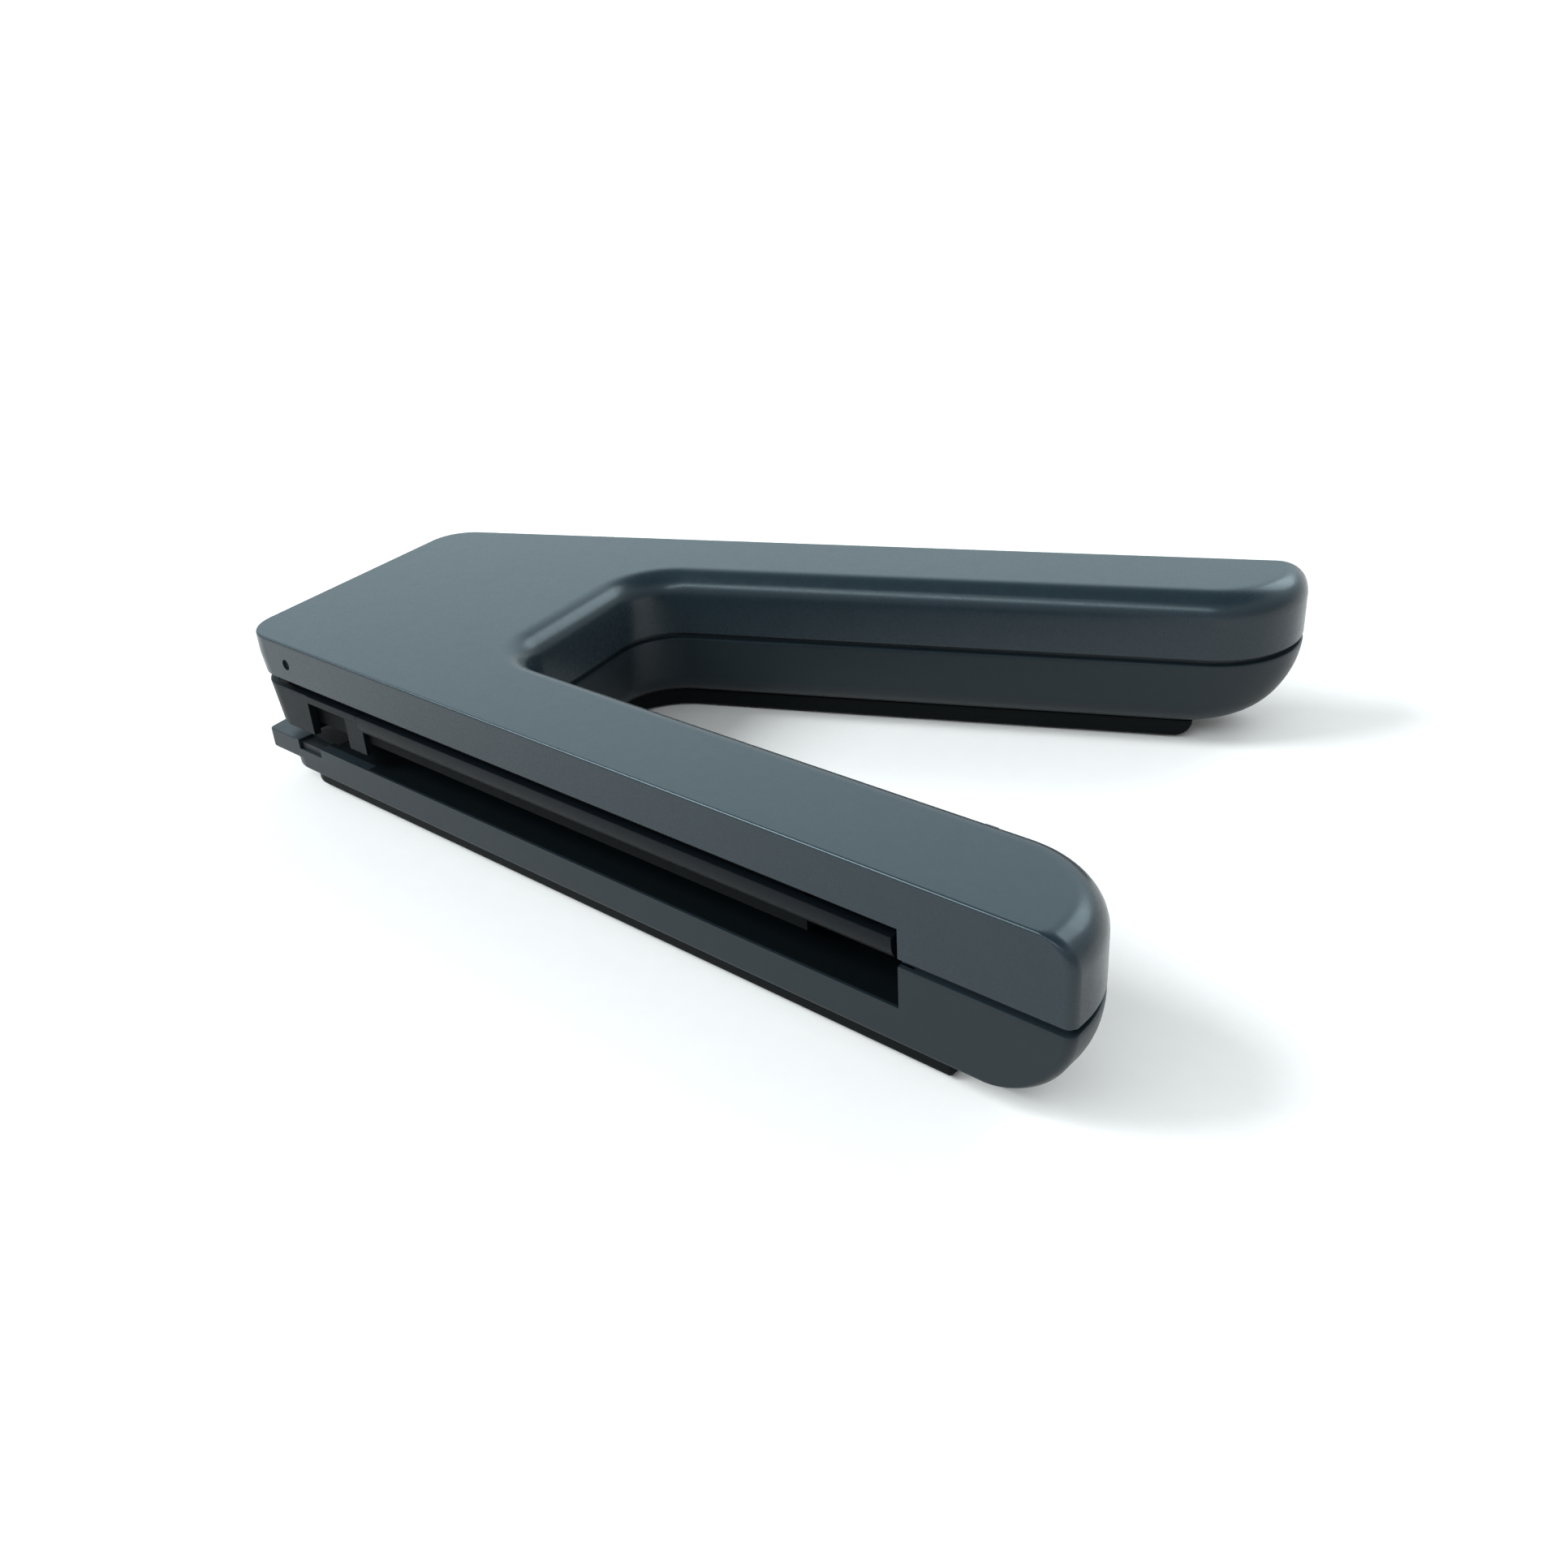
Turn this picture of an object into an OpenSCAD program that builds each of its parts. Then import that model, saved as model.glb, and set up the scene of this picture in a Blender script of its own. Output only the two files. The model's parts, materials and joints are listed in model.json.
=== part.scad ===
// Battery-driven stapler with a V-shaped body.
// One arm holds the stapling jaw, the other holds the cells, and the head holds the motor and gears.
// The stapling arm runs along +X from the head to its tip, +Y points at the battery arm, +Z is up.
// Shapes are drawn from the corner of the head on the stapling side, then moved so that the origin
// is under the middle of the whole body.

/* [Body] */
// Length of each arm along its outer face
arm_l = 172; // [165:1:185]
// Width of each arm
arm_w = 20.5; // [20:0.5:23]
// Angle between the two arms
v_angle = 25; // [22:1:28]
// Width of the head edge
head_w = 58.6; // [57:0.2:62]
// Distance from the head edge to the end wall of the V
apex_l = 54; // [53:1:58]
// Height of the two shells together
shell_h = 25; // [25:0.5:27]
// Thickness of the sole under the shells
sole_h = 4; // [3.5:0.5:5]
// Wall thickness of the shells
wall = 2; // [1.8:0.1:2.2]

/* [Rounding] */
// Radius of the head's two corners in plan
head_r = 8; // [6:1:10]
// Radius of the arm tips' inner corners in plan
tip_r = 17.5; // [15:0.5:17.5]
// Radius of the two corners at the closed end of the V
crotch_r = 10; // [8:1:12]
// Radius of the fillet along the inner top edges and the tips
top_r = 4.8; // [3:0.2:5]
// Radius under the tips
hull_r = 12.5; // [10:0.5:12.5]
// Radius along the inner bottom edges
keel_r = 4; // [2:0.5:5]
// Lean of the head face
head_lean = 14; // [8:1:16]

/* [Throat] */
// Height of the throat's floor above the surface the stapler stands on
deck_z = 9.6; // [9:0.1:10]
// Where the throat ends, measured from the head
throat_l = 147; // [140:1:150]
// Depth of the throat across the arm
throat_w = 18.1; // [17.6:0.1:18.2]
// Thickness of the throat's floor
deck_t = 2; // [1.5:0.1:2.2]

/* [Drive] */
// Travel of the driver blade
stroke = 9; // [8:0.2:9]
// Gear module
gear_m = 0.5; // [0.5:0.5:0.5]
// Teeth on each wheel
wheel_n = 32; // [32:1:32]
// Teeth on each pinion
pinion_n = 12; // [12:1:12]

/* [Cells] */
// Diameter of a cell
cell_d = 14.5; // [14.5:0.1:14.5]
// Length of a cell with its cap
cell_l = 50.5; // [50.5:0.1:50.5]

/* [Hidden] */

$fn = 64;
eps = 0.01;
half = v_angle / 2;
clear = 0.3;          // gap between pieces that move past each other
shell_top = sole_h + shell_h;

// Corner B is the battery arm's sharp outer corner at the head.
corner_b = [-head_w * sin(half), head_w * cos(half)];

// Half the width over the V's outer faces, at distance x from the head edge, in the halfway frame.
function half_width(x) = head_w / 2 + x * tan(half);

// Half the width of the V's gap at the same place.
function half_gap(x) = half_width(x) - arm_w / cos(half);

// Centres of the head's round corner and of the V's round inner corner, in the halfway frame.
head_c = [head_r, half_width(head_r) - head_r / cos(half)];
crotch_c = [apex_l + crotch_r, half_gap(apex_l + crotch_r) - crotch_r / cos(half)];

// Where the round inner corner runs out, along the arm.
crotch_x = (crotch_c[0] - crotch_r * sin(half)) * cos(half)
  + (crotch_c[1] + crotch_r * cos(half) - head_w / 2) * sin(half);

// Extents of the whole body, used to put the origin under its middle.
min_x = head_c[0] * cos(half) - (head_c[1] + head_w / 2) * sin(half) - head_r;
mid_x = (min_x + arm_l) / 2;
mid_y = (corner_b[1] + arm_l * sin(v_angle)) / 2;
lip_x = 1;            // where the anvil nose begins
nose_down = 3.8;      // thickness of the anvil nose
nose_open = 9;        // the nose's underside is open as far as this

// Seams: the jaw seam runs along the throat, the tip seam round the rest of the body.
jaw_seam_z = shell_top - 8.15;
jaw_seam_gap = 1.7;
tip_seam_z = shell_top - 12.4;
tip_seam_gap = 1;

// Screws through both shells, in each arm's own frame
screw_tip = [156, 7.5];
screw_head = [25.5, 10.5];
screw_r = 0.9;
screw_post_r = 3;
screw_head_r = 2.2;

// Stop pin in the outer face
stop_x = 12.5;
stop_down = 4.1;      // below the top
stop_r = 0.95;

// Stapling jaw
jaw_y0 = 0;
jaw_y1 = throat_w - 0.2;
jaw_top = jaw_seam_z - jaw_seam_gap / 2;
jaw_wall = 1.4;
strip_z = shell_top - 12.6;
nose_z = 12.25;
nose_x1 = 17;
window_x1 = 27;
post_x1 = 32;
jaw_x1 = throat_l - 1;
hinge_x = 139;
hinge_z = 24;
hinge_r = 1.5;
window_h = 7.15;

// Magazine and staples
mag_y0 = jaw_y0 + jaw_wall + 0.1;
mag_y1 = jaw_y1 - jaw_wall - 0.1;
mag_z0 = 14.4;
mag_z1 = 21.6;
mag_t = 0.8;
mag_x0 = 10.1;
mag_x1 = 131;
mag_mid = (mag_y0 + mag_y1) / 2;
staple_w = 12.7;
staple_h = 6;
staple_t = 0.6;
staple_pitch = 0.65;
staple_n = 50;
staple_top = 21.25;
strip_len = staple_n * staple_pitch;
pusher_l = 12;
rod_r = 1;
rod_z = 17.2;

// Driver blade, lever and crank
blade_x = 9;
blade_t = 0.7;
blade_w = 12.4;
blade_z0 = 21.6;
blade_z1 = 26.7;
pin_z = 24.5;
pin_r = 1.1;
lever_y0 = 18.5;
lever_t = 1.8;
pivot = [43, 20];
pivot_r = 1.5;
crank = [20, 16.5];
crank_e = 3;
crank_r = 1.4;
motor_x = crank[0] + gear_m * (wheel_n + pinion_n) / 2;

// Planes of the gearbox, along Y
disc_y0 = 20.6;
disc_y1 = 22;
plate_y0 = 22.3;
plate_y1 = 23.5;
gear_t = 1.8;
plane_c = 23.8;
plane_b = plane_c + gear_t + clear;
plane_a = plane_b + gear_t + clear;
motor_plate_y0 = plane_a + gear_t + 0.4;
motor_plate_y1 = motor_plate_y0 + 1.2;
motor_l = 22;
motor_r = 9.8;
motor_flat = 15.2;
boss_r = 3.5;         // raised ring round the motor's front bearing
plate_x0 = 11;
plate_z0 = 7;
plate_h = 19.7;
plate_post_r = 0.9;
shaft_r = 1;
axle_r = 1;
fit = 0.05;           // radial clearance of a running fit

// Battery arm, in its own frame: along the arm, then across from its outer face (negative inwards)
cell_x0 = 37;
cell_y = -arm_w / 2;
cell_z = 12.2;
bay_x0 = 31;
bay_x1 = 143;
bay_w = 15.6;
sole_x1 = 153.8;
sole_in = 3.3;
sole_out = 1.8;
sole_x0 = 9;
door_x0 = 29;
rib_t = 1.4;
bay_wall = 1.6;

// Paper sensor
sensor_x = 22;
sensor_y = 12.8;
sensor_z = 7.8;
sensor_r = 3.7;

// ---------------------------------------------------------------- frames

module placed() {
  translate([-mid_x, -mid_y, 0]) children();
}

// The battery arm's frame: X along the arm, -Y inwards.
module battery_arm() {
  translate([corner_b[0], corner_b[1], 0]) rotate([0, 0, v_angle]) children();
}

// The V's own frame: X along the line that halves the V, Y from corner A to corner B.
module halfway() {
  rotate([0, 0, half]) translate([0, head_w / 2, 0]) children();
}

// A round bar along Y from y0 to y1.
module bar_y(x, z, r, y0, y1) {
  translate([x, y0, z]) rotate([-90, 0, 0]) cylinder(r = r, h = y1 - y0);
}

// ---------------------------------------------------------------- body outline

// One arm in plan, drawn along X with its outer face on Y = 0, moved inwards by i.
module arm_plan(i, x0) {
  translate([x0, i]) square([arm_l - tip_r - x0, arm_w - 2 * i]);
  translate([x0, i]) square([arm_l - i - x0, arm_w - tip_r - i]);
  translate([arm_l - tip_r, arm_w - tip_r]) intersection() {
    circle(r = tip_r - i);
    translate([0, -eps]) square(tip_r);
  }
}

// What fills the space between the arms, in the halfway frame. Its sides end inside the arms.
module head_plan(x0, x1) {
  polygon([
    [x0, arm_w / 2 - half_width(x0)], [x1, arm_w / 2 - half_width(x1)],
    [x1, half_width(x1) - arm_w / 2], [x0, half_width(x0) - arm_w / 2]
  ]);
}

// A wedge from centre c to well past the circle of radius r, between the head's line and an arm's.
module wedge(c, r, x_flat) {
  far = [c[0] - (r + 4) * sin(half), c[1] + (r + 4) * cos(half)];
  polygon([[x_flat, c[1]], c, far, [x_flat, far[1] + 2]]);
}

// What the round corners take off the head, in the halfway frame.
module head_corner_cut(i) {
  for (s = [0, 1]) mirror([0, s]) difference() {
    wedge(head_c, head_r, -2);
    translate(head_c) circle(r = head_r - i);
  }
}

// What the round corners add at the closed end of the V, in the halfway frame.
module crotch_fill(i) {
  for (s = [0, 1]) mirror([0, s]) difference() {
    intersection() {
      wedge(crotch_c, crotch_r, apex_l - i - 1);
      translate([apex_l - i - 2, 0]) square([crotch_r + 2, crotch_c[1] + crotch_r + i + 0.5]);
    }
    translate(crotch_c) circle(r = crotch_r + i);
  }
}

// The whole body in plan, moved inwards by i.
module body_plan(i) {
  difference() {
    union() {
      arm_plan(i, -head_w / 2);
      translate(corner_b) rotate(v_angle) mirror([0, 1]) arm_plan(i, -head_w / 2);
      rotate(half) translate([0, head_w / 2]) {
        head_plan(-1, apex_l - i);
        crotch_fill(i);
      }
    }
    rotate(half) translate([0, head_w / 2]) {
      translate([i - head_w, -head_w]) square([head_w, 2 * head_w]);
      head_corner_cut(i);
    }
  }
}

module body_block(i, z0, z1) {
  translate([0, 0, z0]) linear_extrude(height = z1 - z0) body_plan(i);
}

// Takes the round under an arm's tip off it, in the arm's frame with its outer face on Y = 0.
module tip_under_cut(i) {
  cx = arm_l - hull_r;
  cz = sole_h + hull_r;
  translate([0, arm_w + 1, 0]) rotate([90, 0, 0]) linear_extrude(height = arm_w + 2) difference() {
    translate([cx, sole_h - 1]) square([hull_r + 1, hull_r + 1]);
    translate([cx, cz]) circle(r = hull_r - i);
  }
}

// Takes the round over an arm's tip off it.
module tip_top_cut(i) {
  cx = arm_l - top_r;
  cz = shell_top - top_r;
  translate([0, arm_w + 1, 0]) rotate([90, 0, 0]) linear_extrude(height = arm_w + 2) difference() {
    translate([cx, cz]) square([top_r + 1, top_r + 1]);
    translate([cx, cz]) circle(r = top_r - i);
  }
}

// Rounds an arm's straight inner top edge.
module inner_top_cut(i, x0) {
  translate([x0, 0, 0]) rotate([90, 0, 90]) linear_extrude(height = arm_l - tip_r - x0) difference() {
    translate([arm_w - top_r, shell_top - top_r]) square([top_r + 1, top_r + 1]);
    translate([arm_w - top_r, shell_top - top_r]) circle(r = top_r - i);
  }
}

// Rounds the arm's inner top edge where it turns at the tip.
module tip_ring_cut(i) {
  translate([arm_l - tip_r, arm_w - tip_r, 0]) rotate_extrude(angle = 90) difference() {
    translate([tip_r - top_r, shell_top - top_r]) square([top_r + 1, top_r + 1]);
    translate([tip_r - top_r, shell_top - top_r]) circle(r = top_r - i);
  }
}

// Rounds an arm's straight inner bottom edge.
module inner_keel_cut(i, x0) {
  translate([x0, 0, 0]) rotate([90, 0, 90]) linear_extrude(height = arm_l - x0) difference() {
    translate([arm_w - keel_r, sole_h - 1]) square([keel_r + 1, keel_r + 1]);
    translate([arm_w - keel_r, sole_h + keel_r]) circle(r = keel_r - i);
  }
}

module arm_top_cuts(i) {
  tip_top_cut(i);
  inner_top_cut(i, crotch_x);
  tip_ring_cut(i);
}

module arm_bottom_cuts(i) {
  tip_under_cut(i);
  inner_keel_cut(i, crotch_x);
}

module on_both_arms() {
  children();
  battery_arm() mirror([0, 1, 0]) children();
}

// What the lean of the head face takes off, moved inwards by i.
module head_face_cut(i) {
  halfway() translate([i, -head_w, shell_top - 3.75]) rotate([0, -head_lean, 0])
    translate([-20, 0, -40]) cube([20, 2 * head_w, 40]);
}

// ---------------------------------------------------------------- housing

// A post for a housing screw, from z0 to z1, with a bore of radius r.
module screw_post(z0, z1, r) {
  translate([0, 0, z0]) difference() {
    cylinder(r = screw_post_r, h = z1 - z0);
    translate([0, 0, -1]) cylinder(r = r, h = z1 - z0 + 2);
  }
}

module at_screws() {
  translate([screw_tip[0], screw_tip[1], 0]) children();
  for (at = [screw_tip, screw_head]) battery_arm() translate([at[0], -at[1], 0]) children();
}

module top_shell_solid() {
  difference() {
    body_block(0, tip_seam_z + tip_seam_gap / 2, shell_top);
    on_both_arms() arm_top_cuts(0);
    head_face_cut(0);
  }
}

module top_shell_hollow() {
  difference() {
    body_block(wall, tip_seam_z - 1, shell_top - wall);
    on_both_arms() arm_top_cuts(wall);
    head_face_cut(wall);
  }
}

// Ribs that hold the cells down, across the battery bay.
module cell_ribs() {
  for (x = [cell_x0 + 8, cell_x0 + cell_l - 8, cell_x0 + cell_l + 8, cell_x0 + 2 * cell_l - 8])
    battery_arm() difference() {
      translate([x, wall / 2 - arm_w, tip_seam_z])
        cube([rib_t, arm_w - wall, shell_top - tip_seam_z - wall / 2]);
      translate([x - 1, cell_y, cell_z]) rotate([0, 90, 0]) cylinder(d = cell_d + 2 * fit, h = 4);
      translate([x - 1, cell_y - cell_d / 2, 0]) cube([4, cell_d, cell_z]);
    }
}

module top_shell() {
  color("#2b3034") placed() {
    difference() {
      union() {
        difference() {
          top_shell_solid();
          top_shell_hollow();
        }
        intersection() {
          top_shell_solid();
          union() {
            cell_ribs();
            at_screws() screw_post(tip_seam_z + tip_seam_gap / 2, shell_top - wall / 2, screw_r);
            // Boss for the hinge pin on the inner side
            translate([hinge_x - 3.5, jaw_y1 + clear, hinge_z - 3]) cube([7, 2, 4]);
            // Block at the end of the throat
            translate([throat_l, 0, tip_seam_z]) cube([wall, arm_w, shell_h]);
          }
        }
      }
      // Room for the jaw below its seam
      translate([-10, -5, 0]) cube([throat_l + 10, throat_w + 5.1, jaw_seam_z + jaw_seam_gap / 2]);
      bar_y(hinge_x, hinge_z, hinge_r, 0.8, arm_w - 0.8);
      bar_y(stop_x, shell_top - stop_down, stop_r, -1, wall + 1);
    }
  }
}

module bottom_shell_solid() {
  difference() {
    body_block(0, sole_h, tip_seam_z - tip_seam_gap / 2);
    on_both_arms() arm_bottom_cuts(0);
    head_face_cut(0);
  }
}

module bottom_shell_hollow() {
  difference() {
    body_block(wall, sole_h + wall, tip_seam_z);
    on_both_arms() arm_bottom_cuts(wall);
    head_face_cut(wall);
  }
}

// Throat: everything above the deck as far in as the throat's inner wall.
module throat_room() {
  translate([-10, -5, deck_z]) cube([throat_l + 10, throat_w + 5, shell_h]);
}

module bottom_shell() {
  color("#26292c") placed() {
    difference() {
      union() {
        difference() {
          bottom_shell_solid();
          bottom_shell_hollow();
        }
        intersection() {
          bottom_shell_solid();
          union() {
            at_screws() screw_post(sole_h, tip_seam_z - tip_seam_gap / 2, 1.25);
            // Deck of the throat
            translate([-head_w / 4, 0, deck_z - deck_t])
              cube([head_w / 4 + throat_l + wall, throat_w, deck_t]);
            // Inner wall of the throat: low beside the lever, high behind it
            translate([0, throat_w - wall, sole_h]) cube([post_x1 + 2, wall, deck_z - sole_h]);
            translate([post_x1, throat_w - eps, sole_h]) cube([18, wall, deck_z + 2 - sole_h]);
            translate([post_x1 + 16, throat_w, sole_h]) cube([throat_l - post_x1 - 16, wall, shell_h]);
            // Walls at the ends of the battery bay
            for (x = [bay_x0 - bay_wall, bay_x1 - 3]) battery_arm() translate([x, 2.5 - arm_w, sole_h])
              cube([bay_wall, arm_w, shell_h]);
            // End of the throat
            translate([throat_l, 0, sole_h]) cube([wall, arm_w, shell_h]);
          }
        }
        // Anvil nose, which stands out under the jaw
        translate([0, 0, deck_z - nose_down]) linear_extrude(height = nose_down) polygon([
          [lip_x, 0], [lip_x + 12, 0], [lip_x + 12, throat_w], [lip_x - throat_w * tan(half), throat_w]
        ]);
      }
      throat_room();
      // The nose's underside is open as far as the sole
      translate([-10, -1, sole_h - 1]) cube([nose_open + 10, throat_w, deck_z - nose_down - sole_h + 1]);
      // Recess for the anvil plate, with a notch in the outer edge
      translate([3, 3, deck_z - 1]) cube([16, throat_w - 4.5, 2]);
      translate([10.5, -1, deck_z - 1.8]) cube([7, 5, 3]);
      // Slot for the paper sensor, with a pocket under the deck
      translate([sensor_x - 1.5, 9.5, sole_h - 1]) cube([3, 7.5, deck_z - sole_h + 2]);
      translate([sensor_x - 4, 4, sole_h - 1]) cube([8, 11.5, deck_z - deck_t - sole_h + 1]);
      sensor_bore(0.6);
      // Opening under the cells
      battery_arm() translate([bay_x0, cell_y - bay_w / 2, sole_h - 1])
        cube([bay_x1 - bay_x0, bay_w, wall + 2]);
      at_screws() translate([0, 0, sole_h - 1]) cylinder(r = screw_head_r + 0.2, h = 3);
    }
  }
}

// ---------------------------------------------------------------- sole

// One arm's part of the sole in plan, from x0 to x1 of the arm.
module sole_strip(x0, x1) {
  translate([x0, sole_out]) square([x1 - x0, arm_w - sole_in - sole_out]);
}

// The sole in plan, apart from what lies under the cells.
module sole_plan() {
  difference() {
    union() {
      sole_strip(-head_w / 2, sole_x1);
      difference() {
        union() {
          translate(corner_b) rotate(v_angle) mirror([0, 1]) sole_strip(-head_w / 2, door_x0 + 5);
          rotate(half) translate([0, head_w / 2]) {
            head_plan(0, apex_l - sole_in);
            crotch_fill(sole_in);
          }
        }
        translate(corner_b) rotate(v_angle) translate([door_x0 - clear, -arm_w - 20]) square([60, 60]);
      }
    }
    rotate(half) translate([sole_x0 - head_w, -head_w]) square([head_w, 2 * head_w]);
  }
}

pad_t = 1.2;
pad_r = 3;
pad_l = 12;
pad_step = 0.6;       // the sole stands this far above the surface, on its pads

// One rubber pad, as a bar with round ends along X.
module pad_shape(l, grow, h) {
  linear_extrude(height = h) {
    square([l, 2 * (pad_r + grow)], center = true);
    for (s = [-1, 1]) translate([s * l / 2, 0]) circle(r = pad_r + grow);
  }
}

module at_pads() {
  translate([sole_x1 - 14, arm_w / 2, 0]) children();
  translate([sole_x0 + 16, arm_w / 2, 0]) children();
  battery_arm() translate([sole_x0 + 9, -arm_w / 2, 0]) children();
}

module base_plate() {
  color("#1f2224") placed() difference() {
    translate([0, 0, pad_step]) linear_extrude(height = sole_h - pad_step) sole_plan();
    at_pads() translate([0, 0, -1]) pad_shape(pad_l, 0.05, 1 + pad_t);
    // Room for the screw heads
    at_screws() translate([0, 0, sole_h - 2]) cylinder(r = screw_head_r + 0.4, h = 3);
  }
}

module base_pads() {
  color("#141414") placed() at_pads() pad_shape(pad_l, 0, pad_t);
}

// The door slides off along the battery arm.
module battery_door() {
  round_end = 3;
  color("#1f2224") placed() battery_arm() difference() {
    union() {
      translate([door_x0, sole_in - arm_w, pad_step])
        cube([sole_x1 - round_end - door_x0, arm_w - sole_in - sole_out, sole_h - pad_step - 0.1]);
      translate([door_x0, sole_in - arm_w, pad_step + round_end])
        cube([sole_x1 - door_x0, arm_w - sole_in - sole_out, sole_h - pad_step - round_end - 0.1]);
      translate([sole_x1 - round_end, -sole_out, pad_step + round_end]) rotate([90, 0, 0])
        cylinder(r = round_end, h = arm_w - sole_in - sole_out);
    }
    translate([sole_x1 - 16, -arm_w / 2, -1]) pad_shape(pad_l, 0.05, 1 + pad_t);
    // Nothing stands above the plate's top
    translate([door_x0, -arm_w, sole_h - 0.1]) cube([sole_x1, arm_w, 10]);
    // Finger grooves
    for (k = [0 : 4]) translate([door_x0 + 8 + 2.5 * k, -arm_w + 6, pad_step - 0.5])
      cube([1.2, arm_w - 12, 1]);
  }
}

module door_pad() {
  color("#141414") placed() battery_arm() translate([sole_x1 - 16, -arm_w / 2, 0])
    pad_shape(pad_l, 0, pad_t);
}

// Pan-head screws that hold the two shells together.
module housing_screws() {
  color("#7d8082") placed() at_screws() difference() {
    union() {
      translate([0, 0, sole_h + 0.1]) cylinder(r = screw_head_r, h = 1.8);
      translate([0, 0, sole_h + 1.9]) cylinder(r = screw_r, h = 16);
    }
    for (a = [0, 90]) rotate([0, 0, a]) translate([-1.2, -0.25, sole_h]) cube([2.4, 0.5, 0.9]);
  }
}

// ---------------------------------------------------------------- stapling jaw

// The jaw's visible strip along the throat, with a round lower edge.
module jaw_strip() {
  translate([nose_x1 - 2, jaw_y0, strip_z]) cube([jaw_x1 - nose_x1 + 2, jaw_wall, jaw_top - strip_z]);
}

module jaw_strip_round() {
  translate([0, jaw_y0, strip_z]) rotate([90, 0, 90]) linear_extrude(height = throat_l) difference() {
    translate([-1, -1]) square([1 + jaw_wall, 1 + jaw_wall]);
    translate([jaw_wall, jaw_wall]) circle(r = jaw_wall);
  }
}

module jaw_cover() {
  color("#2b3034") placed() difference() {
    union() {
      difference() {
        jaw_strip();
        translate([post_x1, 0, 0]) jaw_strip_round();
      }
      // Inner side
      translate([nose_x1 - 2, jaw_y1 - jaw_wall, nose_z + 2])
        cube([jaw_x1 - nose_x1 + 2, jaw_wall, jaw_top - nose_z - 2]);
      // Nose, trimmed to the shape of the head
      intersection() {
        translate([-8, jaw_y0, nose_z]) cube([nose_x1 + 8, jaw_y1 - jaw_y0, jaw_top - nose_z]);
        difference() {
          body_block(0, nose_z - 1, jaw_top + 1);
          head_face_cut(0);
        }
      }
      // Post behind the window
      translate([window_x1, jaw_y0, nose_z]) cube([post_x1 - window_x1, jaw_wall, jaw_top - nose_z]);
      // Rear block with the hinge ears
      translate([mag_x1 + 1, jaw_y0, strip_z]) cube([jaw_x1 - mag_x1 - 1, jaw_y1, jaw_top - strip_z]);
      for (y = [3, jaw_y1 - 5]) translate([hinge_x - 4, y, jaw_top - 1])
        cube([8, 3, hinge_z + 2.4 - jaw_top + 1]);
    }
    // Window in the nose's outer side
    translate([nose_x1, -1, nose_z - 1]) cube([window_x1 - nose_x1, jaw_wall + 2, window_h]);
    // Seat of the magazine
    translate([blade_x, mag_y0 - 0.05, mag_z0 - 0.05])
      cube([mag_x1 + 0.5 - blade_x, mag_y1 - mag_y0 + 0.1, 20]);
    translate([nose_x1 - 2, mag_y0 - 0.05, nose_z - 1])
      cube([window_x1 - nose_x1 + 8, mag_y1 - mag_y0 + 0.1, 20]);
    // Way of the blade and of the staples
    translate([blade_x - blade_t / 2 - clear, mag_mid - blade_w / 2 - clear, nose_z - 1])
      cube([blade_t + 2 * clear, blade_w + 2 * clear, 20]);
    // Way of the lever's pin
    translate([blade_x - pin_r - 0.5, mag_mid, pin_z - stroke - pin_r - 0.5])
      cube([2 * pin_r + 1.9, 20, 20]);
    bar_y(hinge_x, hinge_z, hinge_r + fit, -1, arm_w + 1);
  }
}

module magazine_channel() {
  color("#33363a") placed() difference() {
    translate([mag_x0, mag_y0, mag_z0]) cube([mag_x1 - mag_x0, mag_y1 - mag_y0, mag_z1 - mag_z0]);
    translate([mag_x0 - 1, mag_y0 + mag_t, mag_z0 + mag_t])
      cube([mag_x1 - mag_x0 - mag_t + 1, mag_y1 - mag_y0 - 2 * mag_t, 20]);
    // Hole for the rod's rear end
    translate([mag_x1 - mag_t - 1, mag_mid, rod_z]) rotate([0, 90, 0]) cylinder(r = rod_r, h = 4);
    // Way of the lever's pin past the channel's front corner
    translate([mag_x0 - 1, mag_mid, pin_z - stroke - pin_r - 0.5]) cube([2, 20, 20]);
  }
}

// A strip of glued staples: one long bar with a staple's outline.
module staple_strip() {
  color("#b9bcc0") placed() translate([mag_x0 + 0.2, 0, 0]) difference() {
    translate([0, mag_mid - staple_w / 2, staple_top - staple_h]) cube([strip_len, staple_w, staple_h]);
    translate([-1, mag_mid - staple_w / 2 + staple_t, staple_top - staple_h - 1])
      cube([strip_len + 2, staple_w - 2 * staple_t, staple_h + 1 - staple_t]);
    // Marks between the staples, every fifth one
    for (k = [5 : 5 : staple_n - 1])
      translate([k * staple_pitch - 0.05, mag_mid - staple_w, staple_top - 0.15])
        cube([0.1, 2 * staple_w, 1]);
  }
}

pusher_x0 = mag_x0 + 0.2 + strip_len + 0.1;

module staple_pusher() {
  color("#c8cacc") placed() difference() {
    union() {
      translate([pusher_x0, mag_mid - staple_w / 2, mag_z0 + mag_t + 0.1])
        cube([1.6, staple_w, staple_top - mag_z0 - mag_t - 0.1]);
      translate([pusher_x0, mag_mid - 4.5, mag_z0 + mag_t + 0.1])
        cube([pusher_l, 9, staple_top - mag_z0 - mag_t - 0.1]);
    }
    translate([pusher_x0 - 1, mag_mid, rod_z]) rotate([0, 90, 0])
      cylinder(r = rod_r + fit, h = pusher_l + 2);
    // Pocket that the spring sits in
    translate([pusher_x0 + 4, mag_mid, rod_z]) rotate([0, 90, 0]) cylinder(r = 2.1, h = pusher_l);
  }
}

module guide_rod() {
  color("#a8abad") placed() translate([mag_x0 + 0.3, mag_mid, rod_z]) rotate([0, 90, 0])
    cylinder(r = rod_r, h = mag_x1 - mag_x0 - 0.3);
}

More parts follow.
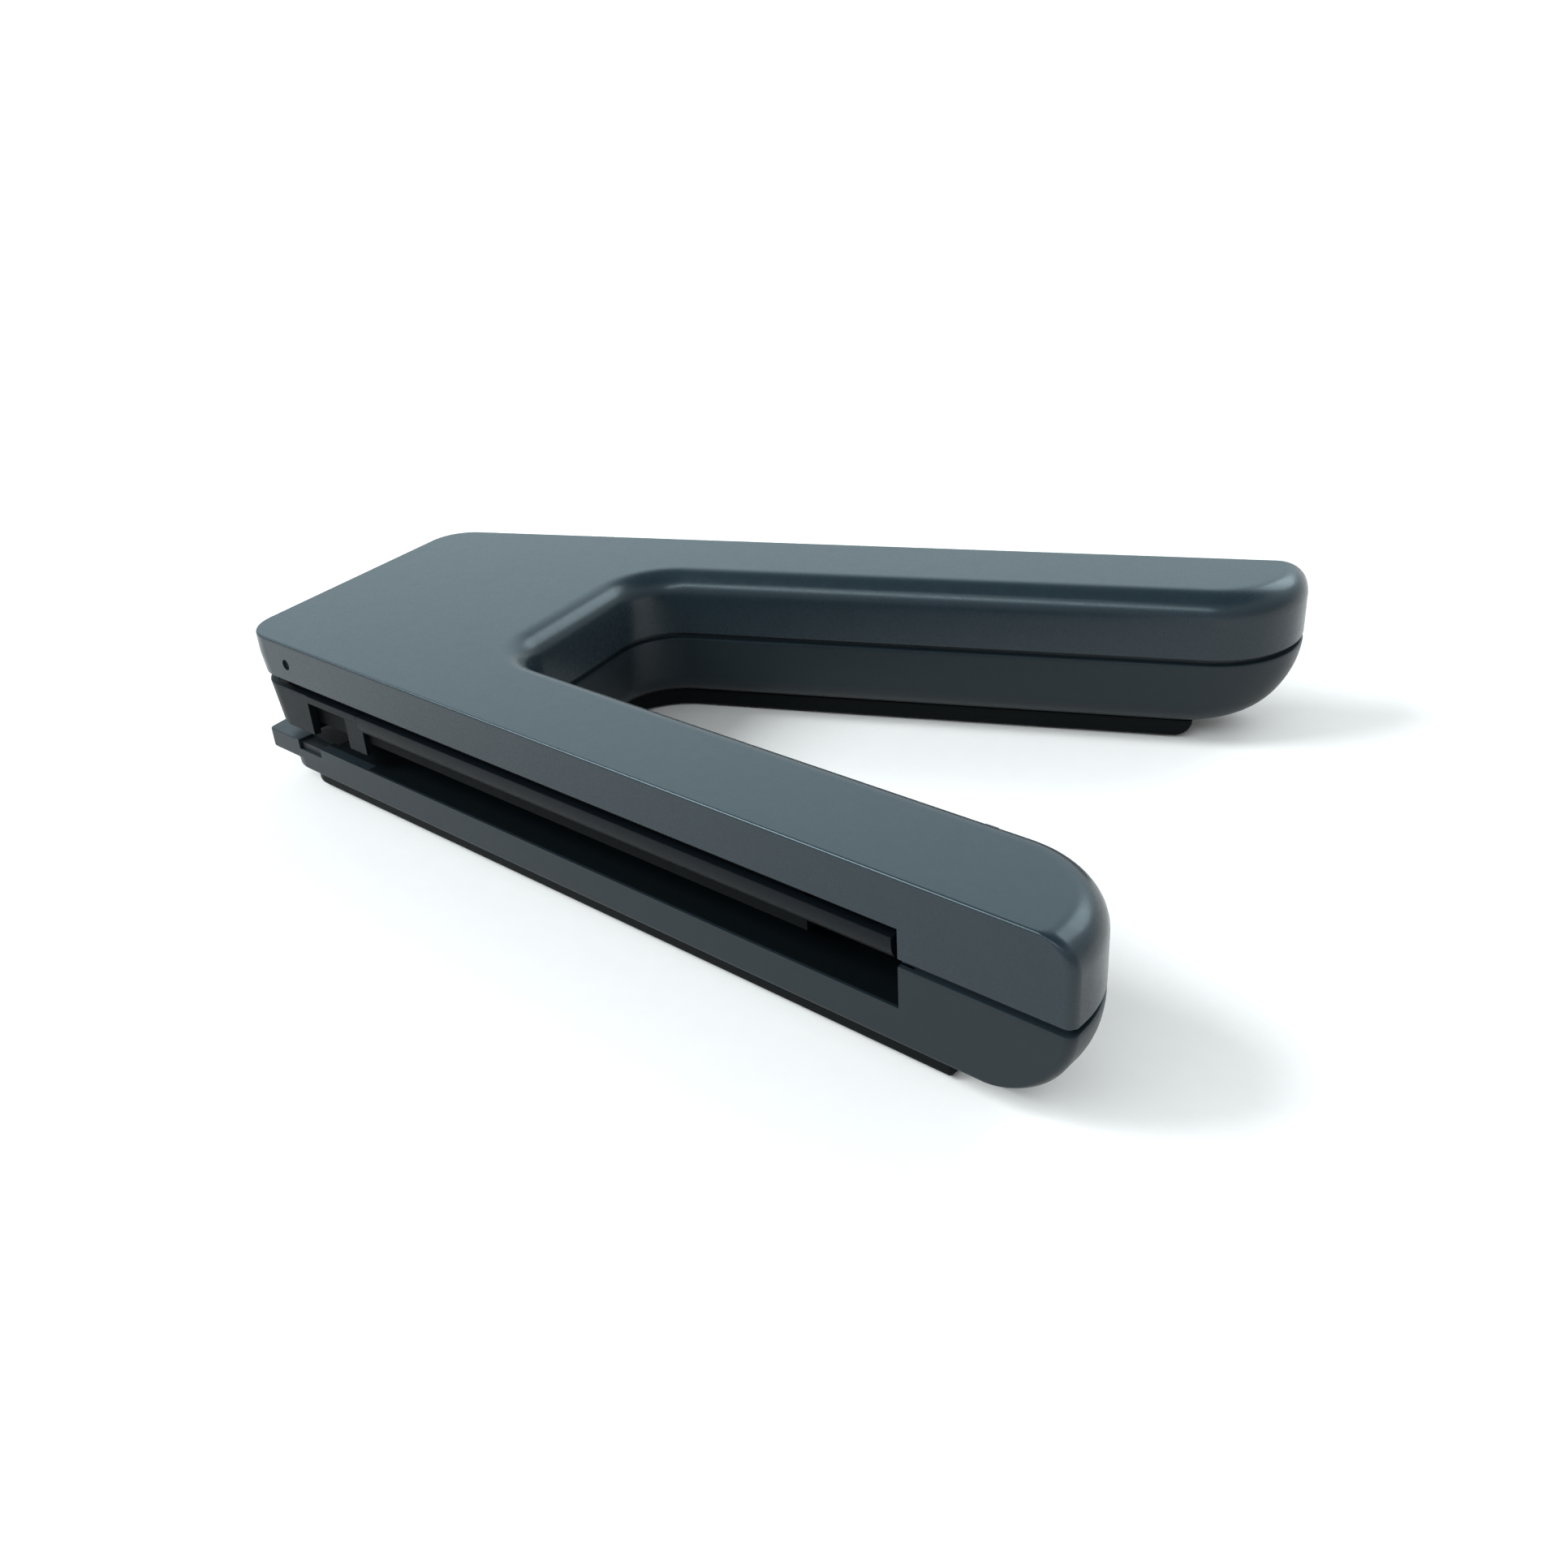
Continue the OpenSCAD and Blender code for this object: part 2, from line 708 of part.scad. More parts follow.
// Points on a ring of n sides, square to the path of a coil that runs along X.
function coil_ring(t, turns, l, r, w, n) = [
  for (k = [0 : n - 1])
    let (a = 360 * turns * t, b = 360 * k / n, q = r + w * cos(b))
    [l * t + w * sin(b), q * cos(a), q * sin(a)]
];

// A coil spring along X: length l, mean radius r, wire radius w.
module coil(l, r, w, turns, steps) {
  n = 6;
  rings = [for (s = [0 : steps]) coil_ring(s / steps, turns, l, r, w, n)];
  points = [for (ring = rings) for (p = ring) p];
  sides = [for (s = [0 : steps - 1]) for (k = [0 : n - 1])
    let (m = (k + 1) % n)
    each [[s * n + k, s * n + m, (s + 1) * n + m], [s * n + k, (s + 1) * n + m, (s + 1) * n + k]]];
  ends = [[for (k = [n - 1 : -1 : 0]) k], [for (k = [0 : n - 1]) steps * n + k]];
  polyhedron(points = points, faces = concat(sides, ends), convexity = 10);
}

spring_x0 = pusher_x0 + 4.4;
spring_x1 = mag_x1 - mag_t - 0.4;

module pusher_spring() {
  color("#8f9294") placed() translate([spring_x0, mag_mid, rod_z])
    coil(spring_x1 - spring_x0, 1.6, 0.3, 12, 168);
}

module hinge_pin() {
  color("#a8abad") placed() bar_y(hinge_x, hinge_z, hinge_r, 0.8, arm_w - 0.8);
}

// Small pin in the outer face, which the jaw comes up against.
module stop_pin() {
  color("#15181a") placed() bar_y(stop_x, shell_top - stop_down, stop_r, 0.35, 5);
}

module anvil_plate() {
  color("#6f7376") placed() difference() {
    union() {
      translate([3.1, 3.1, deck_z - 1]) cube([15.8, throat_w - 4.7, 1]);
      translate([10.7, 0.6, deck_z - 1.7]) cube([6.6, 3.2, 1.2]);
    }
    // Two grooves that fold the legs inwards
    for (s = [-1, 1]) translate([blade_x, mag_mid + s * 3.6, deck_z + 2.1]) rotate([90, 0, 0])
      cylinder(r = 2.5, h = 5, center = true);
  }
}

// ---------------------------------------------------------------- driver

module driver_blade() {
  color("#8f9294") placed() translate([blade_x - blade_t / 2, mag_mid - blade_w / 2, 0]) difference() {
    translate([0, 0, blade_z0]) cube([blade_t, blade_w, blade_z1 - blade_z0]);
    // Notch that the lever's pin sits in
    translate([-1, blade_w / 2 + 0.6, pin_z - pin_r - clear])
      cube([blade_t + 2, blade_w, 2 * (pin_r + clear)]);
  }
}

module drive_lever() {
  top = shell_top - wall - 0.4;
  color("#75797c") placed() {
    difference() {
      union() {
        translate([0, lever_y0 + lever_t, 0]) rotate([90, 0, 0]) linear_extrude(height = lever_t) union() {
          polygon([
            [pivot[0], pivot[1] + 3.4], [crank[0] + 8, top - 2], [blade_x, pin_z + 1.6],
            [blade_x, pin_z - 1.6], [crank[0] - 5, pin_z - 3], [crank[0] - 5, crank[1] - 1.8],
            [crank[0] + 8, crank[1] - 1.8], [pivot[0], pivot[1] - 3.4]
          ]);
          translate(pivot) circle(r = 3.5);
          translate([blade_x, pin_z]) circle(r = 1.7);
        }
        bar_y(blade_x, pin_z, pin_r, mag_mid + 1, lever_y0 + lever_t);
      }
      bar_y(pivot[0], pivot[1], pivot_r + fit, lever_y0 - 1, lever_y0 + lever_t + 1);
      // Slot for the crank pin, as high as the pin's path bows
      translate([crank[0] - 2.7, lever_y0 - 1, crank[1] + 0.2]) cube([7.2, lever_t + 2, 5.1]);
    }
  }
}

module lever_pin() {
  color("#a8abad") placed() bar_y(pivot[0], pivot[1], pivot_r, lever_y0 - 0.2, plate_y1);
}

// ---------------------------------------------------------------- gears

press = 20;           // pressure angle
slack = 0.14;         // backlash at the pitch circle
tooth_add = 0.4;
tooth_ded = 0.6;

function involute(a) = tan(a) * 180 / PI - a;

// Half the angle that a tooth of an n-tooth gear covers at radius r.
function half_tooth(r, n) =
  let (rp = gear_m * n / 2, rb = rp * cos(press), a = acos(min(1, rb / max(r, rb))))
  (PI * gear_m - 2 * slack) / 4 / rp * 180 / PI + involute(press) - involute(a);

function polar(r, a) = [r * cos(a), r * sin(a)];

// A gear's outline with its first tooth on the X axis.
module gear_plan(n) {
  rp = gear_m * n / 2;
  r0 = rp - tooth_ded;
  radii = [for (k = [0 : 4]) r0 + (tooth_add + tooth_ded) * k / 4];
  polygon([for (t = [0 : n - 1]) each concat(
    [for (k = [0 : 4]) polar(radii[k], 360 * t / n - half_tooth(radii[k], n))],
    [for (k = [4 : -1 : 0]) polar(radii[k], 360 * t / n + half_tooth(radii[k], n))]
  )]);
}

// A gear with its axis along Y through (x, z), turned by the given angle.
module gear_y(x, z, n, y0, t, turn) {
  translate([x, y0 + t, z]) rotate([90, 0, 0]) rotate([0, 0, turn]) linear_extrude(height = t) gear_plan(n);
}

half_pitch_wheel = 180 / wheel_n;
half_pitch_pinion = 180 / pinion_n;

module crank_gear() {
  color("#e6e2d6") placed() difference() {
    union() {
      gear_y(crank[0], crank[1], wheel_n, plane_c, gear_t, 0);
      bar_y(crank[0], crank[1], 2, disc_y1 - eps, plane_c + eps);
      bar_y(crank[0], crank[1], crank_e + crank_r + 0.8, disc_y0, disc_y1);
      bar_y(crank[0], crank[1] + crank_e, crank_r, lever_y0 - 0.1, disc_y0 + eps);
    }
    bar_y(crank[0], crank[1], axle_r + fit, disc_y1 - 0.6, plane_c + gear_t + 1);
  }
}

module second_gear() {
  color("#e6e2d6") placed() difference() {
    union() {
      gear_y(motor_x, crank[1], pinion_n, plane_c, gear_t + clear + eps, half_pitch_pinion);
      gear_y(motor_x, crank[1], wheel_n, plane_b, gear_t, half_pitch_wheel);
    }
    bar_y(motor_x, crank[1], axle_r + fit, plane_c - 1, plane_b + gear_t + 1);
  }
}

module first_gear() {
  color("#e6e2d6") placed() difference() {
    union() {
      gear_y(crank[0], crank[1], pinion_n, plane_b, gear_t + clear + eps, 0);
      gear_y(crank[0], crank[1], wheel_n, plane_a, gear_t, 0);
    }
    bar_y(crank[0], crank[1], axle_r + fit, plane_b - 1, plane_a + gear_t + 1);
  }
}

module gear_axles() {
  color("#a8abad") placed() {
    bar_y(crank[0], crank[1], axle_r, disc_y1 - 0.4, motor_plate_y1);
    bar_y(motor_x, crank[1], axle_r, plate_y0, plane_b + gear_t);
  }
}

module gear_plate() {
  color("#a8abad") placed() difference() {
    translate([plate_x0, plate_y0, plate_z0]) cube([36, plate_y1 - plate_y0, plate_h]);
    bar_y(crank[0], crank[1], 2 + fit, plate_y0 - 1, plate_y1 + 1);
    bar_y(motor_x, crank[1], axle_r, plate_y0 - 1, plate_y1 + 1);
    bar_y(pivot[0], pivot[1], pivot_r, plate_y0 - 1, plate_y1 + 1);
  }
}

module motor_plate() {
  color("#a8abad") placed() difference() {
    translate([plate_x0, motor_plate_y0, plate_z0]) cube([34, motor_plate_y1 - motor_plate_y0, plate_h]);
    bar_y(crank[0], crank[1], axle_r, motor_plate_y0 - 1, motor_plate_y1 + 1);
    bar_y(motor_x, crank[1], boss_r + 0.1, motor_plate_y0 - 1, motor_plate_y1 + 1);
  }
}

// Posts that hold the two plates apart, outside the wheels.
module plate_posts() {
  color("#c8cacc") placed() for (p = [[11.9, 25.8], [11.9, 7.9], [42.5, 24.5], [42.5, 9.5]])
    bar_y(p[0], p[1], plate_post_r, plate_y1, motor_plate_y0);
}

// ---------------------------------------------------------------- motor

module motor_outline(i) {
  intersection() {
    circle(r = motor_r - i);
    square([motor_flat - 2 * i, 2 * motor_r], center = true);
  }
}

module motor_pinion() {
  color("#c9a24a") placed() difference() {
    gear_y(motor_x, crank[1], pinion_n, plane_a, gear_t, half_pitch_pinion);
    bar_y(motor_x, crank[1], shaft_r, plane_a - 1, plane_a + gear_t + 1);
  }
}

motor_y0 = motor_plate_y1;
motor_y1 = motor_y0 + motor_l;

module motor_shaft() {
  color("#8f9294") placed() {
    bar_y(motor_x, crank[1], shaft_r, plane_a, motor_y1 + 0.6);
    bar_y(motor_x, crank[1], 6, motor_y0 + 3, motor_y1 - 4);
  }
}

module motor_case() {
  color("#b9bcc0") placed() translate([motor_x, motor_y1, crank[1]]) rotate([90, 0, 0]) difference() {
    union() {
      linear_extrude(height = motor_l) motor_outline(0);
      cylinder(r = boss_r, h = motor_l + motor_plate_y1 - motor_plate_y0);
    }
    translate([0, 0, -1]) linear_extrude(height = motor_l) motor_outline(0.8);
    translate([0, 0, -1]) cylinder(r = shaft_r + fit, h = motor_l + 10);
  }
}

module motor_cap() {
  color("#e8e8e4") placed() translate([motor_x, motor_y1, crank[1]]) rotate([-90, 0, 0]) difference() {
    linear_extrude(height = 1.5) motor_outline(0);
    translate([0, 0, -1]) cylinder(r = shaft_r + fit, h = 1.8);
  }
}

// ---------------------------------------------------------------- electric parts

// One cell with its raised cap towards +X.
module cell(x) {
  battery_arm() translate([x, cell_y, cell_z]) rotate([0, 90, 0]) {
    cylinder(d = cell_d - 0.1, h = cell_l - 1.2);
    cylinder(d = 5.3, h = cell_l);
  }
}

module cell_head() {
  color("#3f6f8f") placed() cell(cell_x0);
}

module cell_tip() {
  color("#3f6f8f") placed() cell(cell_x0 + cell_l + 0.1);
}

contact_x1 = cell_x0 + 2 * cell_l + 0.2;

module contact_spring() {
  color("#a8abad") placed() battery_arm() translate([bay_x0 + 0.8, cell_y, cell_z])
    coil(cell_x0 - bay_x0 - 1.2, 3, 0.35, 4, 64);
}

module contact_plates() {
  color("#a8abad") placed() battery_arm() for (x = [bay_x0 + 0.1, contact_x1 + 0.1])
    translate([x, cell_y - 5.5, sole_h + 1]) cube([0.4, 11, 15]);
}

module circuit_board() {
  color("#2f6b3f") placed() battery_arm() translate([7, -4.2, 8]) cube([21, 1.2, 16]);
}

module board_parts() {
  color("#1b1b1b") placed() battery_arm() {
    translate([9, -5.6, 10]) cube([5, 1.3, 5]);
    translate([16, -5.4, 9]) cube([3, 1.1, 2]);
    translate([16, -5.4, 13]) cube([3, 1.1, 2]);
    translate([11.5, -4.3, 20]) rotate([90, 0, 0]) cylinder(r = 2, h = 3);
  }
}

module sensor_bore(r) {
  translate([sensor_x - 2.8, sensor_y, sensor_z]) rotate([0, 90, 0]) cylinder(r = r, h = 5.6);
}

module sensor_lever() {
  a = 100;
  color("#d8d8d4") placed() translate([sensor_x - 1, sensor_y, sensor_z]) rotate([90, 0, 90]) difference() {
    linear_extrude(height = 2) union() {
      circle(r = 1.4);
      polygon([
        [-0.6, -2.7], [0.6, -2.7], [1.3, 0], polar(sensor_r, a - 9), polar(sensor_r, a + 9), [-1.3, 0]
      ]);
    }
    translate([0, 0, -1]) cylinder(r = 0.6 + fit, h = 4);
  }
}

module sensor_pin() {
  color("#a8abad") placed() sensor_bore(0.6);
}

module sensor_switch() {
  color("#1b1b1b") placed() translate([sensor_x - 3.4, 4.4, sole_h + 0.1]) difference() {
    cube([6.8, 4.2, deck_z - deck_t - sole_h - 0.3]);
    translate([2, 2, -1]) cube([2.8, 4, 6]);
  }
}

top_shell();
bottom_shell();
base_plate();
base_pads();
battery_door();
door_pad();
housing_screws();
jaw_cover();
magazine_channel();
staple_strip();
staple_pusher();
pusher_spring();
guide_rod();
hinge_pin();
stop_pin();
anvil_plate();
driver_blade();
drive_lever();
lever_pin();
crank_gear();
second_gear();
first_gear();
gear_axles();
gear_plate();
motor_plate();
plate_posts();
motor_pinion();
motor_shaft();
motor_case();
motor_cap();
cell_head();
cell_tip();
contact_spring();
contact_plates();
circuit_board();
board_parts();
sensor_lever();
sensor_pin();
sensor_switch();
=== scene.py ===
"""Looks of the V-shaped, battery-driven stapler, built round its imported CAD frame.

Shapes are given in millimetres in the stapling arm's own frame: x runs from the head to the tip along the
outer face, y inwards and z up. The battery arm mirrors it across the V's middle.
"""
import json
import math

import bpy
import bmesh
from mathutils import Matrix, Vector


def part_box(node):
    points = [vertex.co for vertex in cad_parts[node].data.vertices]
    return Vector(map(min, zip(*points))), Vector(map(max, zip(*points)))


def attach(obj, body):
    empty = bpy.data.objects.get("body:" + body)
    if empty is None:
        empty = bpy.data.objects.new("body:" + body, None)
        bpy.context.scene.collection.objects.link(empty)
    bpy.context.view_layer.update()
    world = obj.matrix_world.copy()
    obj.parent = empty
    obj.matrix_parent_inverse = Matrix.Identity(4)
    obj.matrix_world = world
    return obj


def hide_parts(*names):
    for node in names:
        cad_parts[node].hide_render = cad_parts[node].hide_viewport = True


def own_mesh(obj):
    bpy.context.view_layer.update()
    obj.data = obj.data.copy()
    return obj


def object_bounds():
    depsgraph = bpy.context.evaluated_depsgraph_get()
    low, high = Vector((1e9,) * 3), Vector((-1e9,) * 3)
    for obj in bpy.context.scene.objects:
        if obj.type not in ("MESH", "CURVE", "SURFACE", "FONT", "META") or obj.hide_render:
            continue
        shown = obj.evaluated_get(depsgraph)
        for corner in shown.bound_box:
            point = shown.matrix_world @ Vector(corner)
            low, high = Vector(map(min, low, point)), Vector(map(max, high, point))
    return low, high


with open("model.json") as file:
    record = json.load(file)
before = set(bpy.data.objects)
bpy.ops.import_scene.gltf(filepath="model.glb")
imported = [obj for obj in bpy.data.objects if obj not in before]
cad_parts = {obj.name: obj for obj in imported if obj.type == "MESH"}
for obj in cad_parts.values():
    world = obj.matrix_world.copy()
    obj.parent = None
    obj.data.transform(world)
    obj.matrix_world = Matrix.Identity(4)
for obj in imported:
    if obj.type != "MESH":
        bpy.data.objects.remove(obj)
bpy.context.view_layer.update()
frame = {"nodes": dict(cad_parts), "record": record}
nodes = frame["nodes"]

# ------------------------------------------------------------------ sizes that several pieces share

MM = 0.001
HALF = math.radians(12.5)                     # half the angle between the arms
ARM_L, ARM_W = 172.0, 20.5
HEAD_W, APEX = 58.6, 54.0                     # the head's width, and its depth to the V's closed end
HEAD_R, TIP_R, CROTCH_R = 8.0, 17.5, 10.0     # corners in plan
TOP_R, HULL_R, KEEL_R = 4.8, 12.5, 4.0        # rounds of the top, under the tips and under the inner sides
SOLE_Z, TOP_Z = 4.0, 29.0                     # the shells' lowest and highest faces
LEAN, LEAN_Z = math.tan(math.radians(14)), 25.25     # the head's face leans in below this height
SEAM_LOW, SEAM_HIGH = 16.1, 17.1              # the tip seam's two edges
JAW_SEAM = 21.7                               # the top shell's edge over the jaw
DECK_Z = 9.6                                  # the throat's floor
THROAT_L, THROAT_W = 147.0, 18.1
NOSE_X0, NOSE_X1, NOSE_Z = 1.0, 13.0, 5.8     # the anvil nose, and the height of its underside
WALL = 2.0
EDGE_R = 0.45                                 # the small round on the sharp edges
TIP_EDGE_R = 1.4                              # the round of the upright edge at each tip
RIM_R = 0.3                                   # the round of the shells' free edges
LAP = 0.1                                     # how far blocks of one moulding run into each other
NEAR = 0.01                                   # heights this close count as the same
SENSOR_SLOT = (20.5, 9.5, 23.5, 17.0)         # x and y of its near corner, then of its far one
SCREWS = ((156.0, 7.5, False), (156.0, 7.5, True), (25.5, 10.5, True))     # x, y and battery arm or not
SCREW_POST_R, SHANK_R = 3.0, 0.9

low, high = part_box("top_shell")
ORIGIN = Vector((high.x - ARM_L * MM, low.y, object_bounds()[0][2]))
COS, SIN = math.cos(HALF), math.sin(HALF)
COS2, SIN2 = math.cos(2 * HALF), math.sin(2 * HALF)
CORNER_B = (-HEAD_W * SIN, HEAD_W * COS)      # the battery arm's outer corner

# The body's lines in plan, in an arm's own frame: inward normal and offset
HEAD = (COS, SIN, 0.0)
OUTER = (0.0, 1.0, 0.0)
TIP = (-1.0, 0.0, -ARM_L)
INNER = (0.0, -1.0, -ARM_W)
END = (-COS, -SIN, -APEX)

# Points along each part of the outline, less one
HEAD_STEPS, EDGE_STEPS, TIP_STEPS, CROTCH_STEPS = 14, 8, 30, 22
THROAT_COLUMN = HEAD_STEPS + 2                # the outline's point at the throat's end


def moved(line, by):
    """The line shifted inwards."""
    return line[0], line[1], line[2] + by


def meet(a, b):
    """Where two lines cross."""
    det = a[0] * b[1] - a[1] * b[0]
    return ((a[2] * b[1] - a[1] * b[2]) / det, (a[0] * b[2] - a[2] * b[0]) / det)


def at_depth(line, y):
    """The line's point at this y."""
    return ((line[2] - line[1] * y) / line[0], y)


def corner(a, b, r, steps, convex=True):
    """Points round the corner between two lines, from a to b, on a circle of radius r."""
    side = 1 if convex else -1
    cx, cy = meet(moved(a, side * r), moved(b, side * r))
    start = math.atan2(-side * a[1], -side * a[0])
    turn = math.atan2(-side * b[1], -side * b[0]) - start
    turn = (turn + math.pi) % (2 * math.pi) - math.pi
    return [(cx + r * math.cos(start + turn * k / steps), cy + r * math.sin(start + turn * k / steps))
            for k in range(steps + 1)]


def on_battery_arm(p):
    """A point of the arm's frame, mirrored onto the battery arm."""
    return (CORNER_B[0] + COS2 * p[0] + SIN2 * p[1], CORNER_B[1] + SIN2 * p[0] - COS2 * p[1])


def on_arm(x, y, battery):
    """The point in the stapling arm's frame, from either arm's own."""
    return on_battery_arm((x, y)) if battery else (x, y)


def arc_inset(r, depth):
    """How far a round edge of radius r has drawn in, at a depth past where the round begins."""
    t = min(max(depth, 0.0), r)
    return r - math.sqrt(max(r * r - t * t, 0.0))


def lean(z):
    """How far the head's face lies inside the plan at this height."""
    return max(0.0, (LEAN_Z - z) * LEAN)


def outline(head, outer, tips, inner, grow=0.0, r_tip=TIP_R, r_edge=EDGE_R, throat=True):
    """The V's outline at one height, with the same number of points at every height.

    head, outer and inner say how far those edges lie inside the plan, tips holds both arms' tip insets, and
    grow is added to them all. throat adds the points where the throat begins and ends.
    """
    points = []
    for arm, tip in enumerate(tips):
        h, o, t, i = (moved(line, by + grow) for line, by in
                      ((HEAD, head), (OUTER, outer), (TIP, tip), (INNER, inner)))
        marked = throat and arm == 0
        side = [at_depth(h, THROAT_W)] if marked else []
        side += corner(h, o, max(HEAD_R - outer - grow, 0.5), HEAD_STEPS)
        side += [(THROAT_L, o[2])] if marked else []
        side += corner(o, t, r_edge, EDGE_STEPS)
        side += corner(t, i, max(r_tip - grow, 0.6), TIP_STEPS)
        side += corner(i, moved(END, inner + grow), CROTCH_R + inner + grow, CROTCH_STEPS, convex=False)
        points += side if arm == 0 else [on_battery_arm(p) for p in reversed(side)]
    return points


def in_throat(j):
    """Whether the outline's wall from point j to the next one is open to the throat."""
    return j < THROAT_COLUMN


def to_row(p, z):
    """A point in metres in the shared frame."""
    return ORIGIN + Vector((p[0], p[1], z)) * MM


# ------------------------------------------------------------------ meshes

def new_object(name, bm, smooth=40):
    """A mesh object from a bmesh, smooth except over edges sharper than the angle."""
    bmesh.ops.recalc_face_normals(bm, faces=bm.faces)
    mesh = bpy.data.meshes.new(name)
    bm.to_mesh(mesh)
    bm.free()
    obj = bpy.data.objects.new(name, mesh)
    bpy.context.scene.collection.objects.link(obj)
    for p in mesh.polygons:
        p.use_smooth = True
    mesh.set_sharp_from_angle(angle=math.radians(smooth))
    return obj


def weighted(obj):
    """Evens out the shading of large faces beside small ones."""
    m = obj.modifiers.new("even normals", "WEIGHTED_NORMAL")
    m.keep_sharp = True
    return obj


def bevelled(obj, width):
    """Rounds the object's sharp edges."""
    m = obj.modifiers.new("round edges", "BEVEL")
    m.width = width * MM
    m.segments = 2
    m.limit_method = "ANGLE"
    m.angle_limit = math.radians(40)
    m.use_clamp_overlap = True
    m.miter_outer = "MITER_ARC"
    return weighted(obj)


def cut(obj, cutter, operation="DIFFERENCE"):
    """Takes the cutter's shape off the object for good, or joins it on."""
    m = obj.modifiers.new("cut", "BOOLEAN")
    m.operation = operation
    m.solver = "EXACT"
    m.use_self = True
    m.object = cutter
    bpy.context.view_layer.update()
    depsgraph = bpy.context.evaluated_depsgraph_get()
    mesh = bpy.data.meshes.new_from_object(obj.evaluated_get(depsgraph))
    obj.modifiers.remove(m)
    old = obj.data
    obj.data = mesh
    bpy.data.meshes.remove(old)
    bpy.data.objects.remove(cutter)
    mesh.set_sharp_from_angle(angle=math.radians(40))


def grid(bm, outlines, heights):
    """Rings of vertices, one for each outline and height."""
    return [[bm.verts.new(to_row(p, z)) for p in ring] for ring, z in zip(outlines, heights)]


def wrap(bm, a, b):
    """Faces between two closed rings of vertices."""
    for j in range(len(a)):
        n = (j + 1) % len(a)
        bm.faces.new((a[j], a[n], b[n], b[j]))


def skin(bm, rings):
    """A closed solid through rings of vertices."""
    for a, b in zip(rings, rings[1:]):
        wrap(bm, a, b)
    bm.faces.new(list(reversed(rings[0])))
    bm.faces.new(rings[-1])


def stitch(bm, outer, inner, present, high_cap=False, low_cap=False):
    """Faces of a wall between an outer and an inner grid of vertices, closed round its gaps."""
    count, rows = len(outer[0]), len(outer)

    def there(j, k):
        return 0 <= k < rows - 1 and present(j % count, k)

    for k in range(rows - 1):
        for j in range(count):
            if not there(j, k):
                continue
            n = (j + 1) % count
            bm.faces.new((outer[k][j], outer[k][n], outer[k + 1][n], outer[k + 1][j]))
            bm.faces.new((inner[k][n], inner[k][j], inner[k + 1][j], inner[k + 1][n]))
            if not there(j, k - 1) and not (low_cap and k == 0):
                bm.faces.new((outer[k][n], outer[k][j], inner[k][j], inner[k][n]))
            if not there(j, k + 1) and not (high_cap and k == rows - 2):
                bm.faces.new((outer[k + 1][j], outer[k + 1][n], inner[k + 1][n], inner[k + 1][j]))
            if not there(j - 1, k):
                bm.faces.new((outer[k][j], outer[k + 1][j], inner[k + 1][j], inner[k][j]))
            if not there(j + 1, k):
                bm.faces.new((outer[k + 1][n], outer[k][n], inner[k][n], inner[k + 1][n]))
    if high_cap:
        bm.faces.new(outer[-1])
        bm.faces.new(list(reversed(inner[-1])))
    if low_cap:
        bm.faces.new(list(reversed(outer[0])))
        bm.faces.new(inner[0])
    bmesh.ops.delete(bm, geom=[v for v in bm.verts if not v.link_faces], context="VERTS")


def solid_loft(bm, rings):
    """A closed solid through rings of points, each a pair of height and outline."""
    skin(bm, grid(bm, [ring for _, ring in rings], [z for z, _ in rings]))


def block(bm, x0, y0, z0, x1, y1, z1, battery=False):
    """A box in an arm's frame."""
    ring = [on_arm(x, y, battery) for x, y in ((x0, y0), (x1, y0), (x1, y1), (x0, y1))]
    solid_loft(bm, [(z0, ring), (z1, ring)])


def bar(bm, x0, x1, profile):
    """A straight bar along the stapling arm, from its profile's points across and up."""
    skin(bm, [[bm.verts.new(to_row((x, y), z)) for y, z in profile] for x in (x0, x1)])


def tube(bm, x, y, z0, z1, r, r_bore, battery=False, steps=32):
    """An upright tube with its axis at (x, y) in an arm's frame."""
    cx, cy = on_arm(x, y, battery)
    rings = []
    for radius, z in ((r, z0), (r, z1), (r_bore, z1), (r_bore, z0)):
        rings.append([bm.verts.new(to_row((cx + radius * math.cos(a), cy + radius * math.sin(a)), z))
                      for a in (2 * math.pi * k / steps for k in range(steps))])
    for a, b in zip(rings, rings[1:] + rings[:1]):
        wrap(bm, a, b)


def turned(bm, start, along, profile, steps=48):
    """A solid of revolution. The profile's points are distances along the axis and radii."""
    along = Vector(along).normalized()
    side = along.orthogonal().normalized()
    other = along.cross(side)
    rings = []
    for distance, r in profile:
        middle = Vector(start) + along * distance
        points = [middle + (side * math.cos(a) + other * math.sin(a)) * r
                  for a in (2 * math.pi * k / steps for k in range(steps))]
        rings.append([bm.verts.new(ORIGIN + q * MM) for q in points])
    skin(bm, rings)


